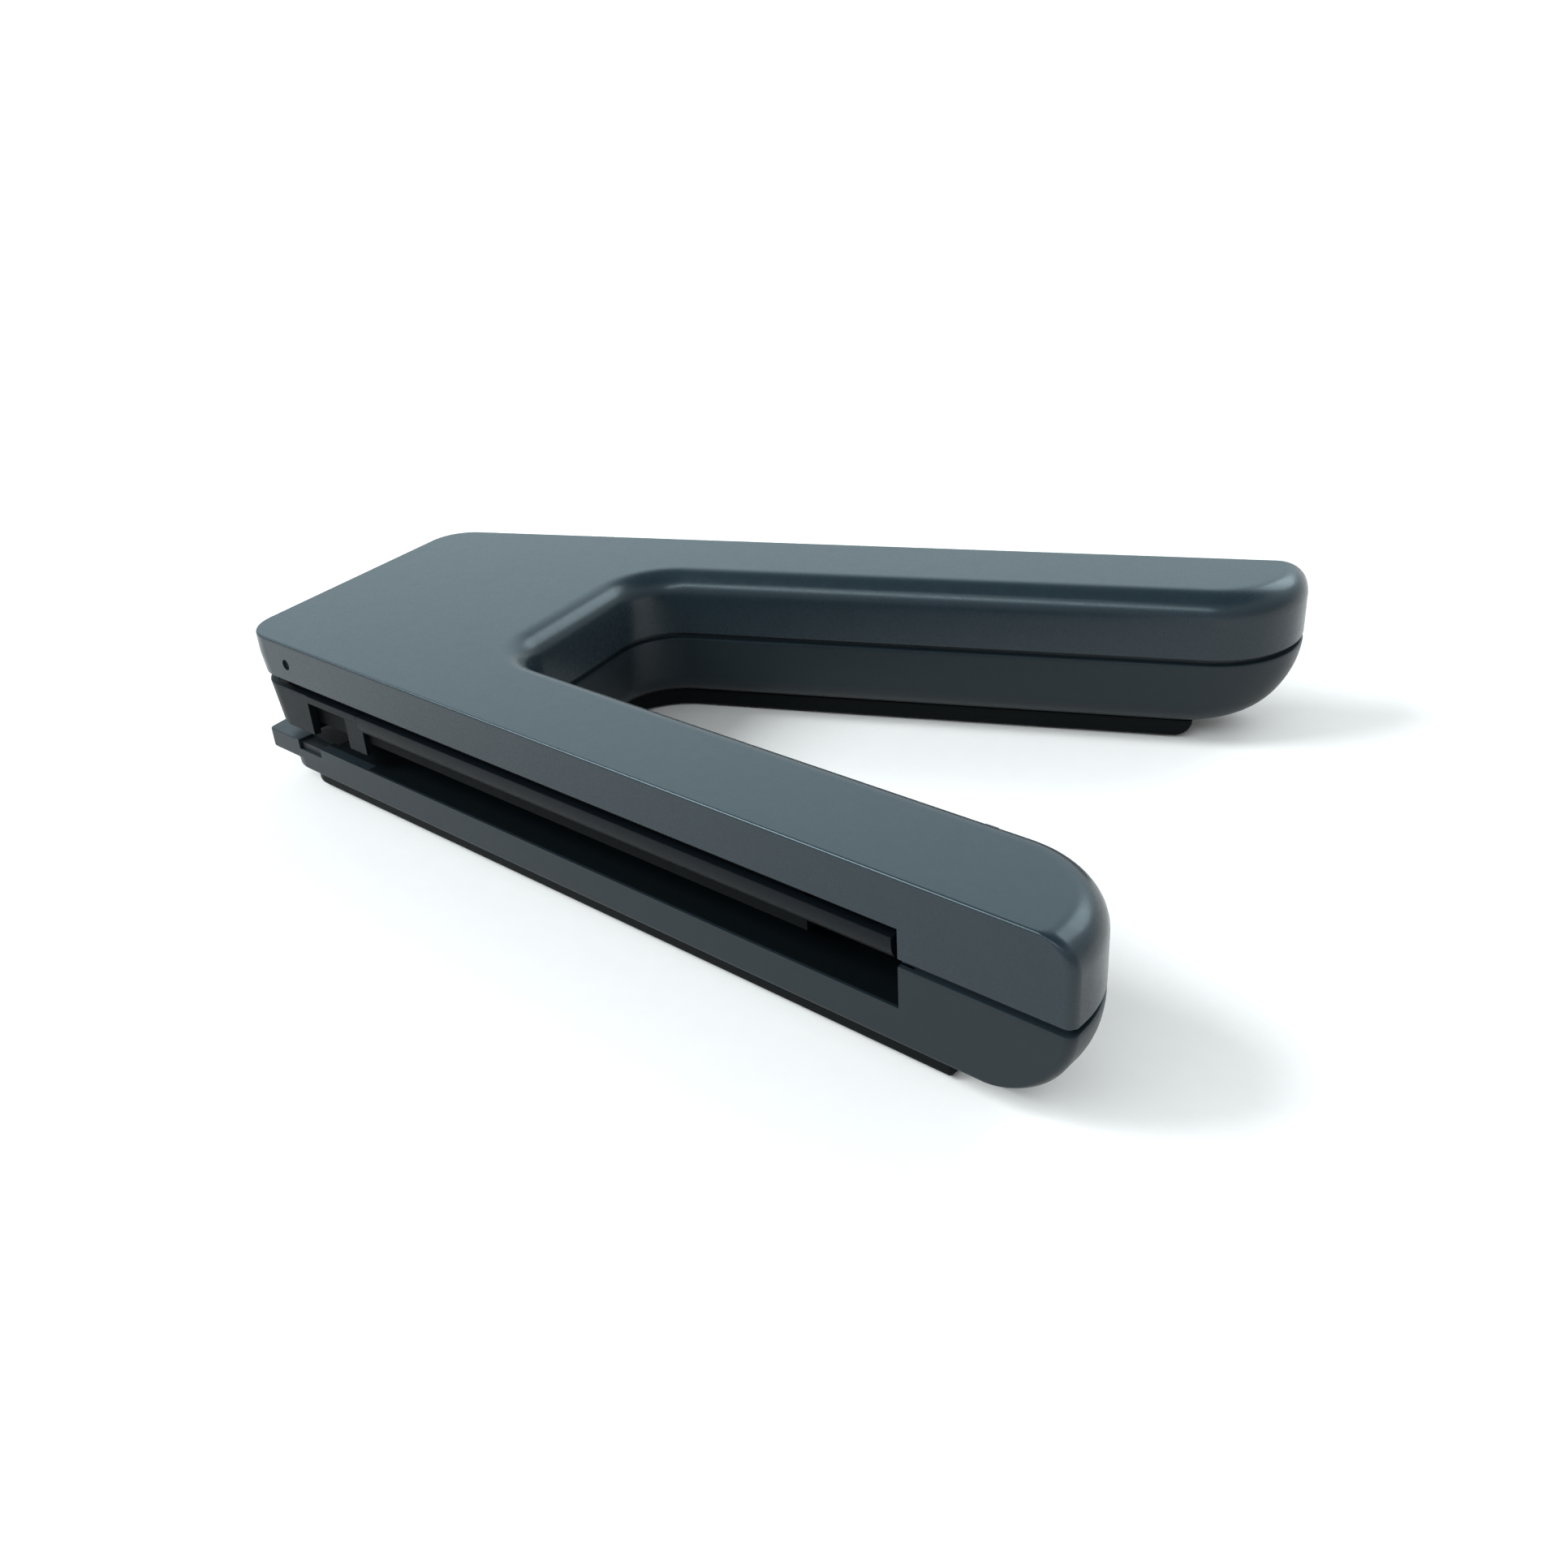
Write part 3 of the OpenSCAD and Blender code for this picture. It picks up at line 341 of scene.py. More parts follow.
def coil(bm, start, along, length, r_start, r_end, wire, turns, steps, sides=8):
    """A wire spring with its end turns lying close, from rings along its helix."""
    along = Vector(along).normalized()
    side = along.orthogonal().normalized()
    other = along.cross(side)
    closed = 2 * wire / length          # the share of the length that a closed end turn takes

    def path(t):
        a = 2 * math.pi * turns * t
        from_end = min(t, 1 - t) * turns
        if from_end > 1.0:
            share = (t - 1 / turns) / (1 - 2 / turns) * (1 - 2 * closed) + closed
        elif t < 0.5:
            share = closed * from_end
        else:
            share = 1 - closed * from_end
        r = r_start + (r_end - r_start) * t
        forward = wire + share * (length - 2 * wire)
        return Vector(start) + along * forward + (side * math.cos(a) + other * math.sin(a)) * r

    rings = []
    for k in range(steps + 1):
        t = k / steps
        here = path(t)
        tangent = (path(min(t + 1e-4, 1)) - path(max(t - 1e-4, 0))).normalized()
        out = (here - Vector(start)) - along * (here - Vector(start)).dot(along)
        out = (out - tangent * out.dot(tangent)).normalized()
        up = tangent.cross(out)
        rings.append([bm.verts.new(ORIGIN + (here + (out * math.cos(b) + up * math.sin(b)) * wire) * MM)
                      for b in (2 * math.pi * i / sides for i in range(sides))])
    skin(bm, rings)


# ------------------------------------------------------------------ top shell

TOP_TURNS = (0, 10, 20, 30, 40, 50, 58, 65, 71, 76, 80, 83.5, 86.5, 90)     # degrees round the top's edge
STOP_X, STOP_Z, STOP_HOLE_R = 12.5, 24.9, 1.0     # the stop pin's hole
SCREW_POST_Z = 27.5
CELL_RIBS, CELL_RIB_T = (45.0, 79.5, 95.5, 130.0), 1.4     # ribs over the cells
CELL_RIB_Z0, CELL_RIB_Z1 = 20.2, 27.2


def top_ring(z):
    """The top shell's outside at one height."""
    round_in = arc_inset(TOP_R, z - (TOP_Z - TOP_R))
    sharp = arc_inset(EDGE_R, z - (TOP_Z - EDGE_R))
    rim = arc_inset(RIM_R, SEAM_HIGH + RIM_R - z)
    return outline(lean(z) + sharp + rim, sharp + rim, (round_in + rim,) * 2, round_in + rim,
                   r_tip=TIP_R - round_in - rim, r_edge=TIP_EDGE_R)


def build_top_shell():
    """The top shell: round along the V's inside and the tips, sharp along the head and the outer faces."""
    heights = [SEAM_HIGH, SEAM_HIGH + 0.09, SEAM_HIGH + RIM_R, JAW_SEAM, 23.0]
    heights += [TOP_Z - TOP_R + TOP_R * math.sin(math.radians(t)) for t in TOP_TURNS]
    ceiling = TOP_Z - WALL
    inner_z = [z if z <= JAW_SEAM else JAW_SEAM + (z - JAW_SEAM) * (ceiling - JAW_SEAM) / (TOP_Z - JAW_SEAM)
               for z in heights]
    inside = []
    for z in inner_z:
        round_in = arc_inset(TOP_R - WALL, z - (ceiling - TOP_R + WALL))
        inside.append(outline(lean(z), 0, (round_in,) * 2, round_in, WALL, TIP_R - round_in))
    bm = bmesh.new()
    outer = grid(bm, [top_ring(z) for z in heights], heights)
    inner = grid(bm, inside, inner_z)
    stitch(bm, outer, inner, lambda j, k: not (in_throat(j) and heights[k] < JAW_SEAM - NEAR), high_cap=True)
    # Posts, ribs over the cells and the wall at the end of the throat
    for x, y, battery in SCREWS:
        tube(bm, x, y, SEAM_HIGH, SCREW_POST_Z, SCREW_POST_R, SHANK_R, battery)
    for x in CELL_RIBS:
        block(bm, x, 1.0, CELL_RIB_Z0, x + CELL_RIB_T, ARM_W - 1.0, CELL_RIB_Z1, battery=True)
    block(bm, THROAT_L, 1.0, SEAM_HIGH, THROAT_L + WALL, ARM_W - 1.0, SCREW_POST_Z)
    shell = new_object("top_shell_body", bm)
    hole = bmesh.new()
    turned(hole, (STOP_X, -1.0, STOP_Z), (0, 1, 0), ((0, STOP_HOLE_R), (4.0, STOP_HOLE_R)), 32)
    cut(shell, new_object("cut_top", hole))
    return weighted(shell)


# ------------------------------------------------------------------ bottom shell and the walls in it

LOW_HEIGHTS = [4.0, 4.04, 4.14, 4.3, 4.54, 4.85, 5.2, 5.6, 6.05, 6.5, 6.96, 7.5, 7.8, 8.0, 8.7,
               DECK_Z, 10.4, 11.3, 12.3, 13.3, 14.3, 15.2, 15.8, 16.01, SEAM_LOW]
LEVEL_Z = 7.5                                 # from here up, inside and outside have the same heights
BAY_X0, BAY_X1, BAY_HALF = 31.0, 143.0, 7.8   # the opening under the cells
CUT_TOP = 7.0                                 # how high the openings are cut
SCREW_HOLE_R, LOW_POST_BORE_R = 2.4, 1.25
SHADE_LIP_X, SHADE_LIP_Y = 32.0, 0.4                      # a thin black sheet over the front wall's top: painted shade along the throat's edge
DECK_FOOT, WALL_FOOT, BAY_FOOT, POST_FOOT = 7.6, 6.5, 6.0, 5.5
WALL_IN = 0.7                                 # how far the inner walls stay inside the arm's faces
BAY_WALLS, BAY_WALL_T = (29.4, 140.0), 1.6
TONGUE_HEIGHTS, TONGUE_PINCH = (15.0, 15.2, 17.7, 17.9), (0.15, 0.0, 0.0, 0.15)
TONGUE_OUT, TONGUE_IN = 1.0, 1.85             # how deep the tongue's two faces lie


def low_tip_r(hull):
    """The tips' corner radius in plan, where the hull has drawn in this far."""
    return max(TIP_R - 0.62 * hull, 7.0)


def low_ring(z):
    """The bottom shell's outside at one height."""
    keel = arc_inset(KEEL_R, SOLE_Z + KEEL_R - z)
    hull = arc_inset(HULL_R, SOLE_Z + HULL_R - z)
    rim = max(arc_inset(RIM_R, SOLE_Z + RIM_R - z), arc_inset(RIM_R, z - (SEAM_LOW - RIM_R)))
    return outline(lean(z) + rim, rim, (hull + rim,) * 2, keel + rim,
                   r_tip=low_tip_r(hull), r_edge=TIP_EDGE_R)


def build_bottom_shell():
    """The bottom shell with the anvil nose."""
    floor_in = SOLE_Z + WALL
    inner_z = [floor_in + (z - SOLE_Z) * (LEVEL_Z - floor_in) / (LEVEL_Z - SOLE_Z) if z < LEVEL_Z else z
               for z in LOW_HEIGHTS]
    inside = []
    for z in inner_z:
        keel = arc_inset(KEEL_R - WALL, floor_in + KEEL_R - WALL - z)
        hull = arc_inset(HULL_R - WALL, floor_in + HULL_R - WALL - z)
        inside.append(outline(lean(z), 0, (hull,) * 2, keel, WALL, low_tip_r(hull)))
    bm = bmesh.new()
    outer = grid(bm, [low_ring(z) for z in LOW_HEIGHTS], LOW_HEIGHTS)
    inner = grid(bm, inside, inner_z)
    stitch(bm, outer, inner, lambda j, k: not (in_throat(j) and LOW_HEIGHTS[k] > DECK_Z - NEAR), low_cap=True)
    shell = new_object("bottom_shell_body", bm)
    cut(shell, build_nose(), "UNION")
    # Openings under the nose and the cells, for the paper sensor and for the screws' heads
    middle = ARM_W / 2
    cutters = bmesh.new()
    block(cutters, -10.0, -1.0, SOLE_Z - 1, 9.0, THROAT_W, NOSE_Z)
    block(cutters, BAY_X0, middle - BAY_HALF, SOLE_Z - 2, BAY_X1, middle + BAY_HALF, CUT_TOP, battery=True)
    block(cutters, *SENSOR_SLOT[:2], SOLE_Z - 2, *SENSOR_SLOT[2:], CUT_TOP)
    for screw in SCREWS:
        turned(cutters, (*on_arm(*screw), SOLE_Z - 1), (0, 0, 1), ((0, SCREW_HOLE_R), (3.0, SCREW_HOLE_R)))
    cut(shell, new_object("cut_bottom", cutters))
    cut(shell, anvil_recess())
    return weighted(shell)


def build_nose():
    """The anvil nose, which stands out under the jaw, with round edges."""
    lip = (COS, SIN, NOSE_X0 * COS)
    rings = []
    for z, e in ((NOSE_Z, 0.3), (NOSE_Z + 0.09, 0.1), (NOSE_Z + 0.3, 0.0),
                 (DECK_Z - 0.25, 0.0), (DECK_Z - 0.07, 0.07), (DECK_Z, 0.25)):
        front, outer, inner = moved(lip, e), moved(OUTER, e), (0.0, -1.0, -THROAT_W)
        ring = corner(front, outer, 0.9, 6) + [(NOSE_X1, outer[2]), (NOSE_X1, THROAT_W)]
        rings.append((z, ring + corner(inner, front, 0.3, 3)))
    bm = bmesh.new()
    solid_loft(bm, rings)
    return new_object("nose", bm)


def anvil_recess():
    """The shape taken out of the throat's floor: the anvil plate's bed, and a notch in the outer edge."""
    bm = bmesh.new()
    block(bm, 3.0, 3.0, DECK_Z - 1.0, 19.0, THROAT_W - 1.5, DECK_Z + 1.0)
    bed = new_object("anvil_bed", bm)
    bm = bmesh.new()
    block(bm, 10.5, -1.0, DECK_Z - 1.8, 17.5, 4.0, DECK_Z + 1.2)
    cut(bed, new_object("edge_notch", bm), "UNION")
    return bed


def build_inside_walls():
    """The throat's floor and walls, the ends of the battery bay and the screws' posts."""
    bm = bmesh.new()
    # A thin black sheet over the front wall's top: painted shade, so the throat's edge reads as dark as its
    # shadowed inside
    block(bm, SHADE_LIP_X, SHADE_LIP_Y, DECK_Z - 0.2, THROAT_L - 0.2, WALL, DECK_Z + 0.04)
    # The floor, in four pieces round the sensor's slot
    x0, y0, x1, y1 = SENSOR_SLOT
    front, end = WALL - LAP, THROAT_L + 1
    for left, near, right, far in ((NOSE_X1 - LAP, front, x0, THROAT_W), (x1, front, end, THROAT_W),
                                   (x0 - LAP, front, x1 + LAP, y0), (x0 - LAP, y1, x1 + LAP, THROAT_W)):
        block(bm, left, near, DECK_FOOT, right, far, DECK_Z - 0.005)
    # The throat's back and end
    block(bm, SHADE_LIP_X, THROAT_W, WALL_FOOT, 50.0, THROAT_W + WALL, DECK_Z + 2)
    block(bm, 48.0, THROAT_W, WALL_FOOT, end, ARM_W - WALL_IN, SEAM_LOW)
    block(bm, THROAT_L, WALL_IN, WALL_FOOT, THROAT_L + WALL, ARM_W - WALL_IN, SEAM_LOW)
    for x in BAY_WALLS:
        block(bm, x, 1.0, BAY_FOOT, x + BAY_WALL_T, ARM_W - 2.5, SEAM_LOW, battery=True)
    for x, y, battery in SCREWS:
        tube(bm, x, y, POST_FOOT, SEAM_LOW, SCREW_POST_R, LOW_POST_BORE_R, battery)
    walls = new_object("throat_walls", bm)
    cut(walls, anvil_recess())
    return bevelled(walls, 0.15)


def build_tongue():
    """A thin rib behind the seam between the shells, which closes the view through it."""
    faces = []
    bm = bmesh.new()
    for depth, side in ((TONGUE_OUT, 1), (TONGUE_IN, -1)):
        rings = [outline(lean(z), 0, (arc_inset(HULL_R, SOLE_Z + HULL_R - z),) * 2, 0, depth + side * e)
                 for z, e in zip(TONGUE_HEIGHTS, TONGUE_PINCH)]
        faces.append(grid(bm, rings, TONGUE_HEIGHTS))
    stitch(bm, *faces, lambda j, k: not in_throat(j))
    return new_object("seam_tongue", bm)


# ------------------------------------------------------------------ jaw cover

JAW_W, JAW_WALL = 17.9, 1.4
JAW_X1, JAW_Z0, JAW_Z1 = 146.0, 12.25, 20.0
JAW_ROUND = ((0.0, 0.25), (0.07, 0.07), (0.25, 0.0))     # its outer edges: inset, and distance from the edge
STRIP_Z, STRIP_ROUND = 16.4, 2.9              # the long strip's foot, and the height of its round
WINDOW_X0, WINDOW_X1, WINDOW_Z = 17.0, 27.0, 18.4
POST_X = 32.0                                 # the far side of the window's post
MAGAZINE_Z = 14.3                             # the foot of the jaw's inner side beside the magazine
SOLID_END_X = 132.0
BLADE_X0, BLADE_X1 = 8.2, 9.8                 # the gap that the blade runs in
LEVER_WAY = (7.3, 8.9, 13.5, 11.6, 22.0, 30.0)     # near corner and far corner
EAR_X0, EAR_X1, EAR_T = 135.0, 143.0, 3.0     # the hinge's ears
EAR_Z0, EAR_Z1 = 19.0, 22.4


def jaw_ring(z, inset, x1):
    """The nose's face at one height, from its inner end round the head's corner to x1."""
    h, o = moved(HEAD, lean(z) + inset), moved(OUTER, inset)
    return [at_depth(h, JAW_W)] + corner(h, o, HEAD_R - inset, HEAD_STEPS) + [(x1, o[2])]


def build_jaw_nose():
    """The jaw's nose as a bent wall."""
    rings = [(JAW_Z0 + rise, inset) for inset, rise in reversed(JAW_ROUND)]
    rings += [(14.2, 0.0), (STRIP_Z, 0.0), (WINDOW_Z, 0.0)]
    rings += [(JAW_Z1 - fall, inset) for inset, fall in JAW_ROUND]
    heights = [z for z, _ in rings]
    bm = bmesh.new()
    outer = grid(bm, [jaw_ring(z, inset, WINDOW_X0) for z, inset in rings], heights)
    inner = grid(bm, [jaw_ring(z, JAW_WALL, WINDOW_X0) for z in heights], heights)
    last = len(outer[0]) - 1
    stitch(bm, outer, inner, lambda j, k: j < last)
    return bevelled(new_object("jaw_nose", bm), 0.12)


def build_jaw_strip():
    """The strip, with a round lower edge as high as most of its side, and the window's lintel and post."""
    rim = [(inset, JAW_Z1 - fall) for inset, fall in JAW_ROUND] + [(JAW_WALL, JAW_Z1)]
    round_edge = []
    for k in range(13):
        a = math.radians(90 * k / 12)
        round_edge.append(((JAW_WALL - 0.1) * (1 - math.sin(a)), STRIP_Z + STRIP_ROUND * (1 - math.cos(a))))
    lintel = [(JAW_WALL, WINDOW_Z), (0.25, WINDOW_Z), (0.0, WINDOW_Z + 0.25)]
    bm = bmesh.new()
    bar(bm, POST_X - 0.2, JAW_X1, [(JAW_WALL, STRIP_Z)] + round_edge + rim)
    bar(bm, WINDOW_X0 - LAP, POST_X, lintel + rim)
    # The post stands back from the outer face
    block(bm, WINDOW_X1, 0.7, JAW_Z0, POST_X, JAW_WALL, WINDOW_Z + 0.5)
    return weighted(new_object("jaw_strip", bm))


def build_jaw_inside():
    """The jaw's inner side, its solid ends, the floor behind the blade and the hinge's ears."""
    side = JAW_W - JAW_WALL
    bm = bmesh.new()
    block(bm, 15.0, side, JAW_Z0, POST_X, JAW_W, JAW_Z1)
    block(bm, POST_X - LAP, side, MAGAZINE_Z, JAW_X1, JAW_W, JAW_Z1)
    block(bm, SOLID_END_X, JAW_WALL, STRIP_Z + 0.3, JAW_X1 - LAP, JAW_W - LAP, JAW_Z1 - LAP)
    front = jaw_ring(JAW_Z0, 0.6, BLADE_X0) + [(BLADE_X0, JAW_W)]
    solid_loft(bm, [(JAW_Z0 + 0.02, front), (JAW_Z1 - 0.3, front)])
    block(bm, BLADE_X1, JAW_WALL, JAW_Z0 + 0.02, 15.0 + LAP, side, MAGAZINE_Z)
    for y in (3.0, JAW_W - 5.0):
        block(bm, EAR_X0, y, EAR_Z0, EAR_X1, y + EAR_T, EAR_Z1)
    inside = new_object("jaw_inside", bm)
    # Way of the lever's end and its pin
    way = bmesh.new()
    block(way, *LEVER_WAY)
    cut(inside, new_object("cut_jaw", way))
    return bevelled(inside, 0.2)


# ------------------------------------------------------------------ sole and door

SOLE_OUT, SOLE_IN, SOLE_X0, SOLE_X1 = 1.8, 3.3, 9.0, 153.8
PAD_STEP = 0.6                                # the height of the sole's underside
DOOR_X0, DOOR_GAP, DOOR_END_R = 29.0, 0.3, 3.0
GROOVES, GROOVE_X, GROOVE_PITCH, GROOVE_W = 5, 8, 2.5, 1.2
# The round of the lower edges, as heights and insets
UNDER_EDGE = [(PAD_STEP, 0.4), (PAD_STEP + 0.05, 0.2), (PAD_STEP + 0.14, 0.09), (PAD_STEP + 0.4, 0)]


def build_sole():
    """The V-shaped sole, which stops where the battery door begins."""
    tips = (ARM_L - SOLE_X1, ARM_L - (DOOR_X0 - DOOR_GAP))
    rings = [(z, outline(SOLE_X0, SOLE_OUT, tips, SOLE_IN, e, 0.8, throat=False))
             for z, e in UNDER_EDGE + [(3.8, 0), (3.95, 0.06), (SOLE_Z, 0.2)]]
    bm = bmesh.new()
    solid_loft(bm, rings)
    return weighted(new_object("sole_plate", bm))


def build_door():
    """The cells' door: a plate with a round end, and finger grooves underneath."""
    rings = []
    for z, e in UNDER_EDGE + [(1.6, 0), (2.2, 0), (2.9, 0), (3.6, 0), (3.75, 0.06), (3.9, 0.25)]:
        x1 = SOLE_X1 - arc_inset(DOOR_END_R, PAD_STEP + DOOR_END_R - z) - e
        start, outer = (1.0, 0.0, DOOR_X0 + e), (0.0, 1.0, SOLE_OUT + e)
        end, inner = (-1.0, 0.0, -x1), (0.0, -1.0, -(ARM_W - SOLE_IN - e))
        ring = corner(start, outer, 0.5, 5) + corner(outer, end, 0.8, 6)
        ring += corner(end, inner, 0.8, 6) + corner(inner, start, 0.5, 5)
        rings.append((z, [on_battery_arm(p) for p in ring]))
    bm = bmesh.new()
    solid_loft(bm, rings)
    door = new_object("door_plate", bm)
    grooves = bmesh.new()
    for k in range(GROOVES):
        x = DOOR_X0 + GROOVE_X + GROOVE_PITCH * k
        block(grooves, x, 6.0, PAD_STEP - 1, x + GROOVE_W, ARM_W - 6.0, PAD_STEP + 0.6, battery=True)
    cut(door, new_object("cut_door", grooves))
    return weighted(door)


# ------------------------------------------------------------------ pads and screws

PADS = ((139.8, False), (25.0, False), (18.0, True))
DOOR_PADS = ((137.8, True),)
PAD_L, PAD_R = 12.0, 3.0
PAD_RINGS = ((0.0, 0.35), (0.06, 0.15), (0.2, 0.04), (0.4, 0.0), (1.19, 0.0))     # heights and insets
# The screws' profile: distances from the head's face, and radii
SCREW_PROFILE = ((0.0, 1.2), (0.05, 1.55), (0.2, 1.9), (0.45, 2.12), (0.8, 2.2), (1.8, 2.2),
                 (1.8, SHANK_R), (17.3, SHANK_R), (17.8, 0.5))
SLOT_L, SLOT_W, SLOT_TOP = 2.6, 0.48, 0.95


def build_pads(name, places):
    """Rubber pads with round ends and a rounded lower edge."""
    bm = bmesh.new()
    for x, battery in places:
        rings = []
        for z, e in PAD_RINGS:
            ring = []
            for side, start in ((1, -90), (-1, 90)):
                for k in range(17):
                    a = math.radians(start + 180 * k / 16)
                    along = x + side * PAD_L / 2 + (PAD_R - e) * math.cos(a)
                    ring.append(on_arm(along, ARM_W / 2 + (PAD_R - e) * math.sin(a), battery))
            rings.append((z, ring))
        solid_loft(bm, rings)
    return new_object(name, bm)


def build_screws():
    """Pan-head screws with crossed slots."""
    bm = bmesh.new()
    for screw in SCREWS:
        turned(bm, (*on_arm(*screw), SOLE_Z + 0.1), (0, 0, 1), SCREW_PROFILE)
    screws = new_object("pan_screws", bm)
    for dx, dy in ((SLOT_L / 2, SLOT_W / 2), (SLOT_W / 2, SLOT_L / 2)):
        slots = bmesh.new()
        for x, y, battery in SCREWS:
            block(slots, x - dx, y - dy, SOLE_Z - 0.5, x + dx, y + dy, SOLE_Z + SLOT_TOP, battery)
        cut(screws, new_object("slots", slots))
    return screws


# ------------------------------------------------------------------ springs and cells

PUSHER_COIL_R, PUSHER_WIRE, PUSHER_TURNS = 1.6, 0.28, 26
CELL_X, CELL_L, CELL_R, CELL_Z = 37.0, 50.5, 7.2, 12.2
CELLS = (("cell_head", CELL_X), ("cell_tip", CELL_X + CELL_L + 0.1))
BODY_L = CELL_L - 1.4                         # a cell without its raised cap
ALONG_BATTERY_ARM = (COS2, SIN2, 0.0)
# Profiles of a cell's pieces: distances along its axis, and radii
SLEEVE = ((0.0, 5.9), (0.04, CELL_R - 0.5), (0.2, CELL_R - 0.15), (0.5, CELL_R), (BODY_L - 0.6, CELL_R),
          (BODY_L - 0.25, CELL_R - 0.15), (BODY_L - 0.05, CELL_R - 0.6), (BODY_L, 5.2))
FLAT_END = ((-0.02, 4.4), (-0.03, 4.9), (0.03, 5.3), (0.05, 5.5))
CAP = ((BODY_L - 0.1, 5.2), (BODY_L + 0.05, 4.9), (BODY_L + 0.1, 2.9), (BODY_L + 1.1, 2.65),
       (BODY_L + 1.3, 2.45), (BODY_L + 1.4, 2.1))


def build_pusher_spring():
    """The coil round the guide rod, which the pusher squashes as it slides."""
    low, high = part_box("pusher_spring")
    start = (low - ORIGIN) / MM
    middle = (low + high) / 2
    at = (start.x, (middle.y - ORIGIN.y) / MM, (middle.z - ORIGIN.z) / MM)
    length, clear = high.x - low.x, 0.3 * MM
    bm = bmesh.new()
    coil(bm, at, (1, 0, 0), length / MM, PUSHER_COIL_R, PUSHER_COIL_R, PUSHER_WIRE, PUSHER_TURNS,
         PUSHER_TURNS * 24)
    spring = new_object("pusher_coil", bm, 60)
    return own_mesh(spring)


def battery_axis(x):
    """A point on the cells' axis."""
    return (*on_battery_arm((x, ARM_W / 2)), CELL_Z)


def build_contact_spring():
    """The cone-shaped spring behind the head end's cell."""
    bm = bmesh.new()
    coil(bm, battery_axis(31.6), ALONG_BATTERY_ARM, 5.0, 4.6, 2.4, 0.35, 4.5, 4 * 40)
    return new_object("contact_coil", bm, 60)


def build_cell(name, x):
    """One cell's plain sleeve, crimped in over both ends."""
    bm = bmesh.new()
    turned(bm, battery_axis(x), ALONG_BATTERY_ARM, SLEEVE, 72)
    return new_object(name + "_sleeve", bm)


def build_cell_ends():
    """The flat ends and the raised caps of both cells."""
    bm = bmesh.new()
    for _, x in CELLS:
        for profile in (FLAT_END, CAP):
            turned(bm, battery_axis(x), ALONG_BATTERY_ARM, profile)
    return new_object("cell_ends", bm)


# ------------------------------------------------------------------ materials

WEAR_AND_SHEEN_LIFT = 2.2                               # how much lighter than its base an edge is: partly wear, partly a painted highlight along the edges


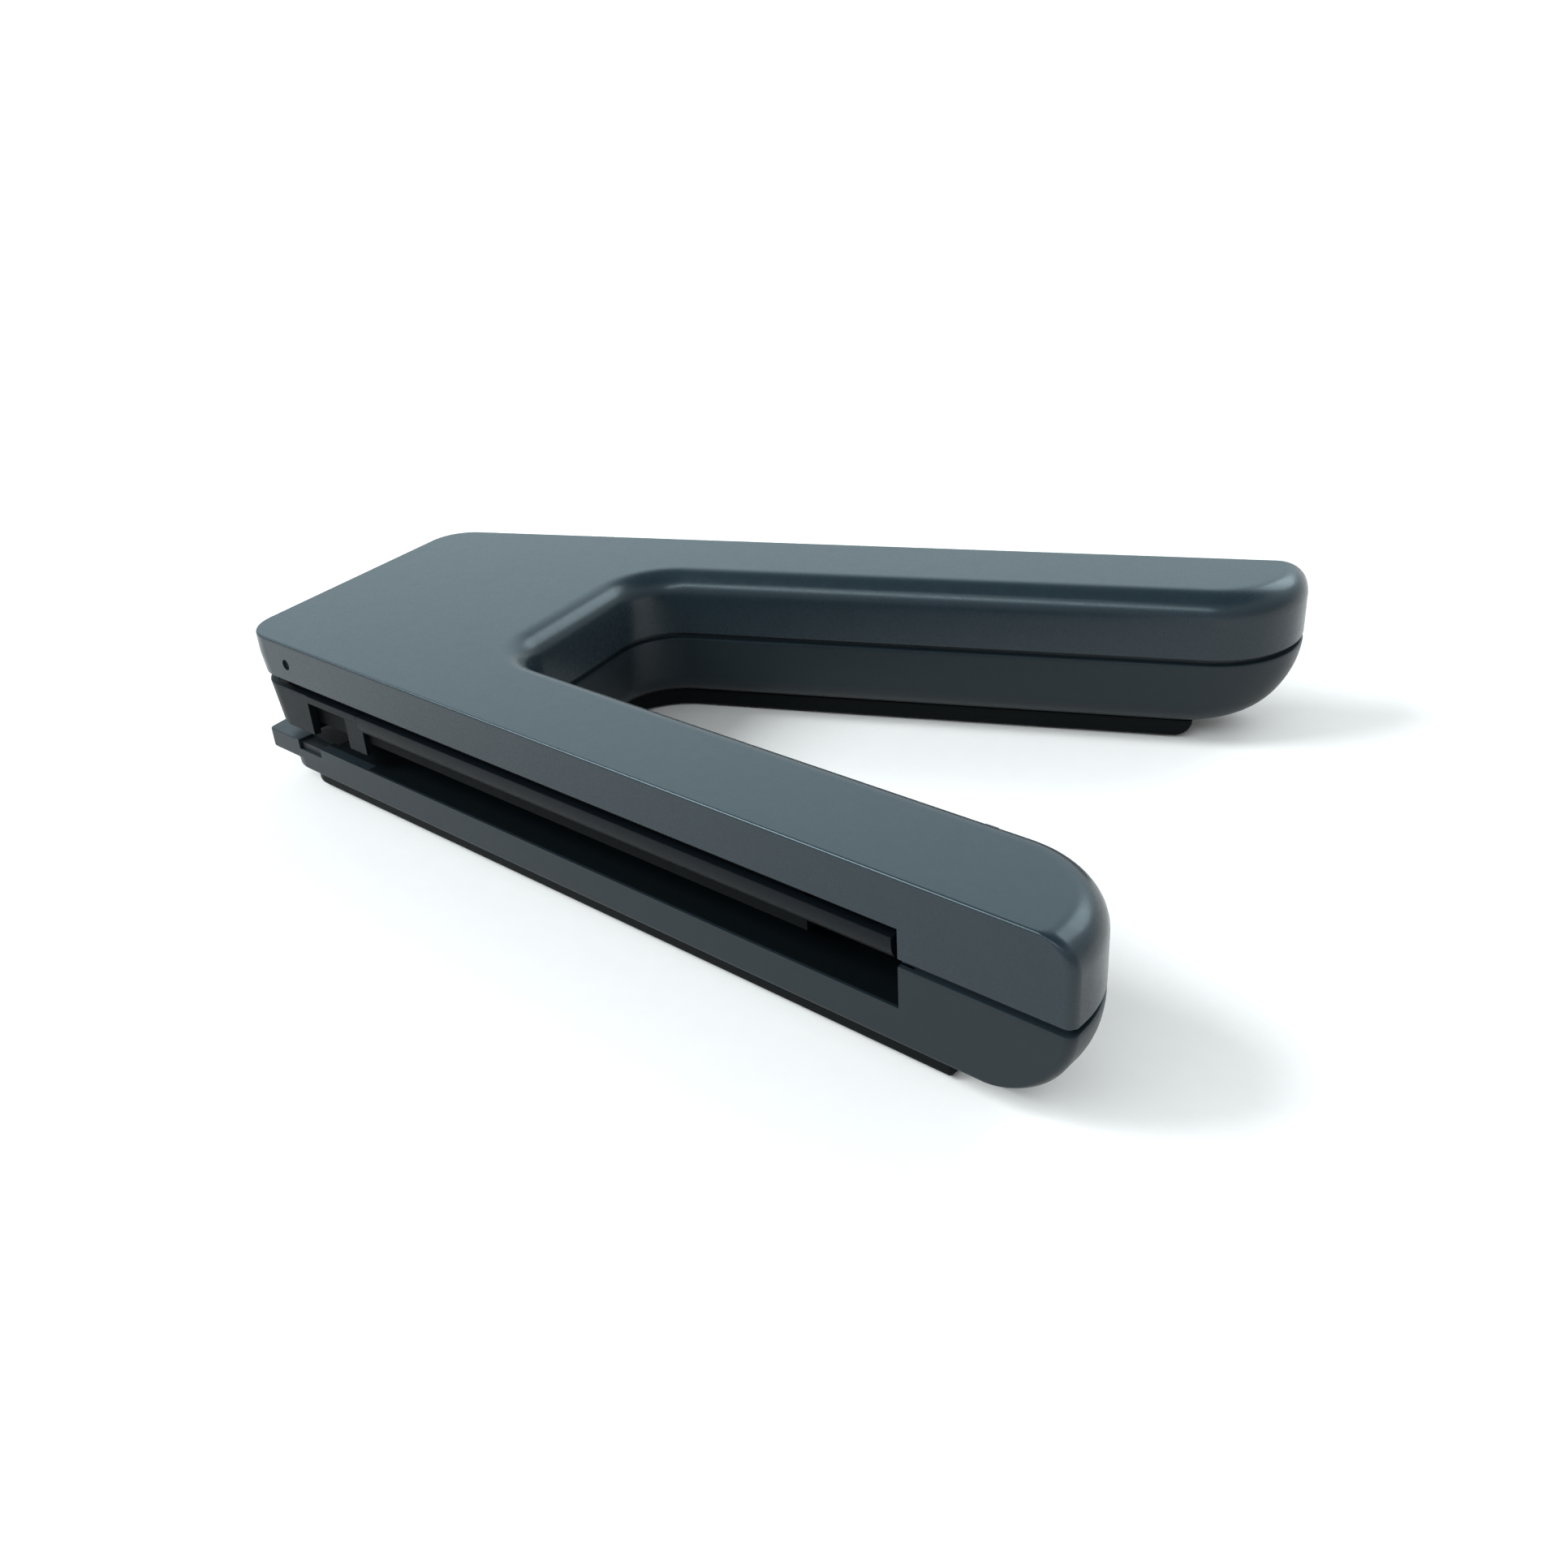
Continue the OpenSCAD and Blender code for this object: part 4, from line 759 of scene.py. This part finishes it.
def shader(name, base, rough, metal=0.0, mottle=0.04, grain=3500.0, depth=0.000018, rough_spread=0.03,
           scratch=0.0, specular=0.5, wear_and_sheen=0.0):
    """A procedural finish: broad colour mottling, fine grain in the bump, uneven roughness and lighter edges,
    which are partly wear and partly a painted highlight.
    """
    m = bpy.data.materials.new(name)
    m.use_nodes = True
    tree = m.node_tree
    n, link = tree.nodes, tree.links.new
    bsdf = n["Principled BSDF"]
    bsdf.inputs["Metallic"].default_value = metal
    bsdf.inputs["Specular IOR Level"].default_value = specular
    coords = n.new("ShaderNodeTexCoord")

    def noise(scale, detail, roughness=0.5, stretch=None):
        t = n.new("ShaderNodeTexNoise")
        t.inputs["Scale"].default_value = scale
        t.inputs["Detail"].default_value = detail
        t.inputs["Roughness"].default_value = roughness
        if stretch:
            mapping = n.new("ShaderNodeMapping")
            mapping.inputs["Scale"].default_value = stretch
            link(coords.outputs["Object"], mapping.inputs["Vector"])
            link(mapping.outputs["Vector"], t.inputs["Vector"])
        else:
            link(coords.outputs["Object"], t.inputs["Vector"])
        return t.outputs["Fac"]

    def ramp(value, stops):
        r = n.new("ShaderNodeValToRGB")
        for element, (position, color) in zip(r.color_ramp.elements, stops):
            element.position = position
            element.color = color
        link(value, r.inputs["Fac"])
        return r.outputs["Color"]

    def span(value, low_to, high_to, low_from=0.3, high_from=0.7):
        r = n.new("ShaderNodeMapRange")
        r.inputs["From Min"].default_value = low_from
        r.inputs["From Max"].default_value = high_from
        r.inputs["To Min"].default_value = low_to
        r.inputs["To Max"].default_value = high_to
        link(value, r.inputs["Value"])
        return r.outputs["Result"]

    def bump(height, distance):
        b = n.new("ShaderNodeBump")
        b.inputs["Strength"].default_value = 1.0
        b.inputs["Distance"].default_value = distance
        link(height, b.inputs["Height"])
        return b

    def wear_and_sheen_edges(color):
        """The colour with lighter patches along the edges: partly wear, partly a painted highlight where the
        edges catch the light.
        """
        edge = n.new("ShaderNodeBevel")
        edge.samples = 4
        edge.inputs["Radius"].default_value = 0.00035
        normal = n.new("ShaderNodeNewGeometry")
        dot = n.new("ShaderNodeVectorMath")
        dot.operation = "DOT_PRODUCT"
        link(edge.outputs["Normal"], dot.inputs[0])
        link(normal.outputs["Normal"], dot.inputs[1])
        both = n.new("ShaderNodeMath")
        both.operation = "MULTIPLY"
        link(span(dot.outputs["Value"], 1.0, 0.0, 0.75, 0.98), both.inputs[0])
        link(span(noise(400.0, 3.0), 0.0, wear_and_sheen, 0.45, 0.7), both.inputs[1])
        mix = n.new("ShaderNodeMix")
        mix.data_type = "RGBA"
        mix.inputs["B"].default_value = (*(min(c * WEAR_AND_SHEEN_LIFT, 1) for c in base), 1)
        link(both.outputs["Value"], mix.inputs["Factor"])
        link(color, mix.inputs["A"])
        return mix.outputs["Result"]

    dark = [max(c * (1 - mottle), 0) for c in base] + [1]
    light = [min(c * (1 + mottle), 1) for c in base] + [1]
    color = ramp(noise(220.0, 6.0, 0.7), ((0.3, dark), (0.7, light)))
    link(wear_and_sheen_edges(color) if wear_and_sheen > 0 else color, bsdf.inputs["Base Color"])
    link(span(noise(500.0, 5.0, 0.7), rough - rough_spread, rough + rough_spread), bsdf.inputs["Roughness"])
    surface = bump(noise(grain, 2.0, 0.6), depth)
    if scratch > 0:
        lines = bump(noise(900.0, 3.0, 0.6, stretch=(0.06, 1.0, 1.0)), scratch)
        link(surface.outputs["Normal"], lines.inputs["Normal"])
        surface = lines
    link(surface.outputs["Normal"], bsdf.inputs["Normal"])
    return m


FINISHES = {
    "shell": dict(base=(0.014, 0.021, 0.026), rough=0.27, specular=0.3, wear_and_sheen=0.2, depth=0.0000015),
    "lower_shell": dict(base=(0.011, 0.0155, 0.0185), rough=0.36, specular=0.22, wear_and_sheen=0.15, depth=0.000008),
    # The jaw's plastic is the lower shell's slate made far darker: painted shade on the jaw's strip, under
    # its round lower edge and inside its window.
    "jaw_plastic": dict(base=(0.003, 0.0042, 0.0054), rough=0.4, specular=0.1, wear_and_sheen=0.1, depth=0.000006),
    # The sole's finish also goes on the throat's floor and walls, where its near-black paints the throat's
    # shade.
    "sole": dict(base=(0.0025, 0.0034, 0.004), rough=0.5, specular=0.07, grain=2600.0, depth=0.00002),
    "pad": dict(base=(0.012, 0.012, 0.012), rough=0.8, grain=1800.0, depth=0.00006, mottle=0.15),
    "gear_plastic": dict(base=(0.74, 0.71, 0.62), rough=0.38, depth=0.00001),
    "motor_end": dict(base=(0.72, 0.72, 0.69), rough=0.45),
    "cell_jacket": dict(base=(0.03, 0.1, 0.16), rough=0.22, depth=0.000004),
    "board": dict(base=(0.02, 0.1, 0.045), rough=0.35, mottle=0.25, grain=1200.0),
    "chip": dict(base=(0.012, 0.012, 0.013), rough=0.5, mottle=0.2),
    "sensor_plastic": dict(base=(0.004, 0.005, 0.006), rough=0.5, specular=0.12),
    "brass": dict(base=(0.72, 0.5, 0.2), rough=0.3, metal=1.0, scratch=0.00001),
    "dark_pin": dict(base=(0.004, 0.004, 0.005), rough=0.6, specular=0.1, scratch=0.00001),
    # Dark, dull steel: painted shade, so the anvil reads black in its notch.
    "anvil_steel": dict(base=(0.02, 0.021, 0.023), rough=0.45, metal=0.6, scratch=0.00001),
    # Near-black with almost no specular: painted shade, so the magazine's side reads black in the jaw's slot
    # and window.
    "magazine_steel": dict(base=(0.0015, 0.002, 0.0025), rough=0.5, specular=0.04, scratch=0.00001),
}
# Every other slot is a bare metal in its record's colour, which is a screen colour
BARE_METAL = dict(rough=0.3, metal=1.0, mottle=0.06, rough_spread=0.1, scratch=0.000012, depth=0.000006)
SCREEN_GAMMA = 2.2
materials = {}
for entry in frame["record"]["materials"]:
    slot = entry["slot"]
    bare = {**BARE_METAL, "base": tuple(c ** SCREEN_GAMMA for c in entry["base_color"][:3])}
    materials[slot] = shader(slot, **FINISHES.get(slot, bare))

slot_of = {s["node"]: s["material_slot"] for s in frame["record"]["subparts"]}
for name, obj in nodes.items():
    obj.data.materials.clear()
    obj.data.materials.append(materials[slot_of[name]])


def dress(obj, slot, body, *replaced):
    """Gives a piece its finish, its body and the CAD nodes it stands for."""
    obj.data.materials.clear()
    obj.data.materials.append(materials[slot])
    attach(obj, body)
    if replaced:
        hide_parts(*replaced)


dress(build_top_shell(), "shell", "housing", "top_shell")
dress(build_bottom_shell(), "lower_shell", "housing", "bottom_shell")
# The throat's floor and walls take the sole's near-black finish: painted shade, so the throat's inside reads
# black.
dress(build_inside_walls(), "sole", "housing")
dress(build_tongue(), "lower_shell", "housing")
dress(build_jaw_nose(), "jaw_plastic", "jaw", "jaw_cover")
dress(build_jaw_strip(), "jaw_plastic", "jaw")
dress(build_jaw_inside(), "jaw_plastic", "jaw")
dress(build_sole(), "sole", "housing", "base_plate")
dress(build_door(), "sole", "door", "battery_door")
dress(build_pads("sole_pads", PADS), "pad", "housing", "base_pads")
dress(build_pads("door_rubber", DOOR_PADS), "pad", "door", "door_pad")
dress(build_screws(), "screw_steel", "housing", "housing_screws")
dress(build_pusher_spring(), "spring_steel", "jaw", "pusher_spring")
dress(build_contact_spring(), "spring_steel", "housing", "contact_spring")
for name, x in CELLS:
    dress(build_cell(name, x), "cell_jacket", "housing", name)
dress(build_cell_ends(), "contact_steel", "housing")

# ------------------------------------------------------------------ floor and light, in metres

bm = bmesh.new()
bmesh.ops.create_grid(bm, x_segments=8, y_segments=8, size=3.0)
floor = new_object("floor", bm)
paper = shader("floor_paper", base=(0.98, 0.82, 0.76), rough=0.9, specular=0.0, mottle=0.01, grain=600.0)
floor.data.materials.append(paper)
bpy.context.scene.view_settings.view_transform = "Standard"

AIR = (0.73, 0.92, 1.0)                       # the light's cool tint
BACKDROP = (-0.4, 0.92, 0.0)                  # the way to the brightest part of the surround
ZENITH_LEVEL = 0.12
# Ramps of the surround: the span of what each one reads, then the values at the span's two ends
LEVEL = (-0.2, 0.95, 0.95, 2.2)               # reads how closely a direction points to the backdrop
RISE, FALL = (0.2, 0.6, 0.5, 1.0), (0.62, 0.9, 1.0, 0.0)     # these two and the next one read the height
COOLING = (0.02, 0.2, 0.0, 1.0)


def studio_world():
    """A soft surround: brightest behind the object and half-way up, dark overhead, white at the horizon."""
    world = bpy.data.worlds.new("studio")
    bpy.context.scene.world = world
    world.use_nodes = True
    tree = world.node_tree
    n, link = tree.nodes, tree.links.new
    coords = n.new("ShaderNodeTexCoord")
    split = n.new("ShaderNodeSeparateXYZ")
    link(coords.outputs["Generated"], split.inputs["Vector"])
    height = split.outputs["Z"]

    def ramp(value, span):
        r = n.new("ShaderNodeMapRange")
        r.interpolation_type = "SMOOTHSTEP"
        for socket, v in zip(("From Min", "From Max", "To Min", "To Max"), span):
            r.inputs[socket].default_value = v
        link(value, r.inputs["Value"])
        return r.outputs["Result"]

    towards = n.new("ShaderNodeVectorMath")
    towards.operation = "DOT_PRODUCT"
    towards.inputs[1].default_value = BACKDROP
    link(coords.outputs["Generated"], towards.inputs[0])
    band = n.new("ShaderNodeMath")
    band.operation = "MULTIPLY"
    link(ramp(height, RISE), band.inputs[0])
    link(ramp(height, FALL), band.inputs[1])
    strength = n.new("ShaderNodeMath")
    strength.operation = "MULTIPLY_ADD"
    link(ramp(towards.outputs["Value"], LEVEL), strength.inputs[0])
    link(band.outputs["Value"], strength.inputs[1])
    strength.inputs[2].default_value = ZENITH_LEVEL
    tint = n.new("ShaderNodeMix")
    tint.data_type = "RGBA"
    tint.inputs["A"].default_value = (1, 1, 1, 1)
    tint.inputs["B"].default_value = (*AIR, 1)
    link(ramp(height, COOLING), tint.inputs["Factor"])
    link(tint.outputs["Result"], n["Background"].inputs["Color"])
    link(strength.outputs["Value"], n["Background"].inputs["Strength"])


def studio_light(name, kind, power, towards):
    """A cool light that shines from the given direction."""
    data = bpy.data.lights.new(name, kind)
    data.energy = power
    data.color = AIR
    lamp = bpy.data.objects.new(name, data)
    bpy.context.scene.collection.objects.link(lamp)
    lamp.rotation_euler = Vector(towards).to_track_quat("Z", "Y").to_euler()
    return lamp


studio_world()
key = studio_light("key", "SUN", 2.9, (-0.6, -0.47, 0.65))
key.data.angle = math.radians(26.0)
back = studio_light("back", "SUN", 0.9, (0.15, 0.8, 0.58))
back.data.angle = math.radians(30.0)
# A long tube in front, for the bright line along the fillets
front_tube = studio_light("front_tube", "AREA", 4.5, (0.02, -0.75, 0.6))
front_tube.location = (0.02, -0.75, 0.62)
front_tube.data.shape = "RECTANGLE"
front_tube.data.size, front_tube.data.size_y = 1.1, 0.05

# ------------------------------------------------------------------ camera

CAMERA_AT = (237.46, -117.72, 121.5)          # in millimetres, in the arm's frame
AZIMUTH, PITCH, ROLL = math.radians(132.42), math.radians(28.0), math.radians(-3.73)
camera_data = bpy.data.cameras.new("camera")
camera_data.lens, camera_data.sensor_width = 33.2, 36.0
camera_data.clip_start, camera_data.clip_end = 0.01, 20.0
camera = bpy.data.objects.new("camera", camera_data)
bpy.context.scene.collection.objects.link(camera)
forward = Vector((math.cos(PITCH) * math.cos(AZIMUTH), math.cos(PITCH) * math.sin(AZIMUTH), -math.sin(PITCH)))
right = forward.cross(Vector((0, 0, 1))).normalized()
up = right.cross(forward)
right, up = (right * math.cos(ROLL) + up * math.sin(ROLL), up * math.cos(ROLL) - right * math.sin(ROLL))
turn = Matrix((right, up, -forward)).transposed().to_4x4()
camera.matrix_world = Matrix.Translation(ORIGIN + Vector(CAMERA_AT) * MM) @ turn
bpy.context.scene.camera = camera
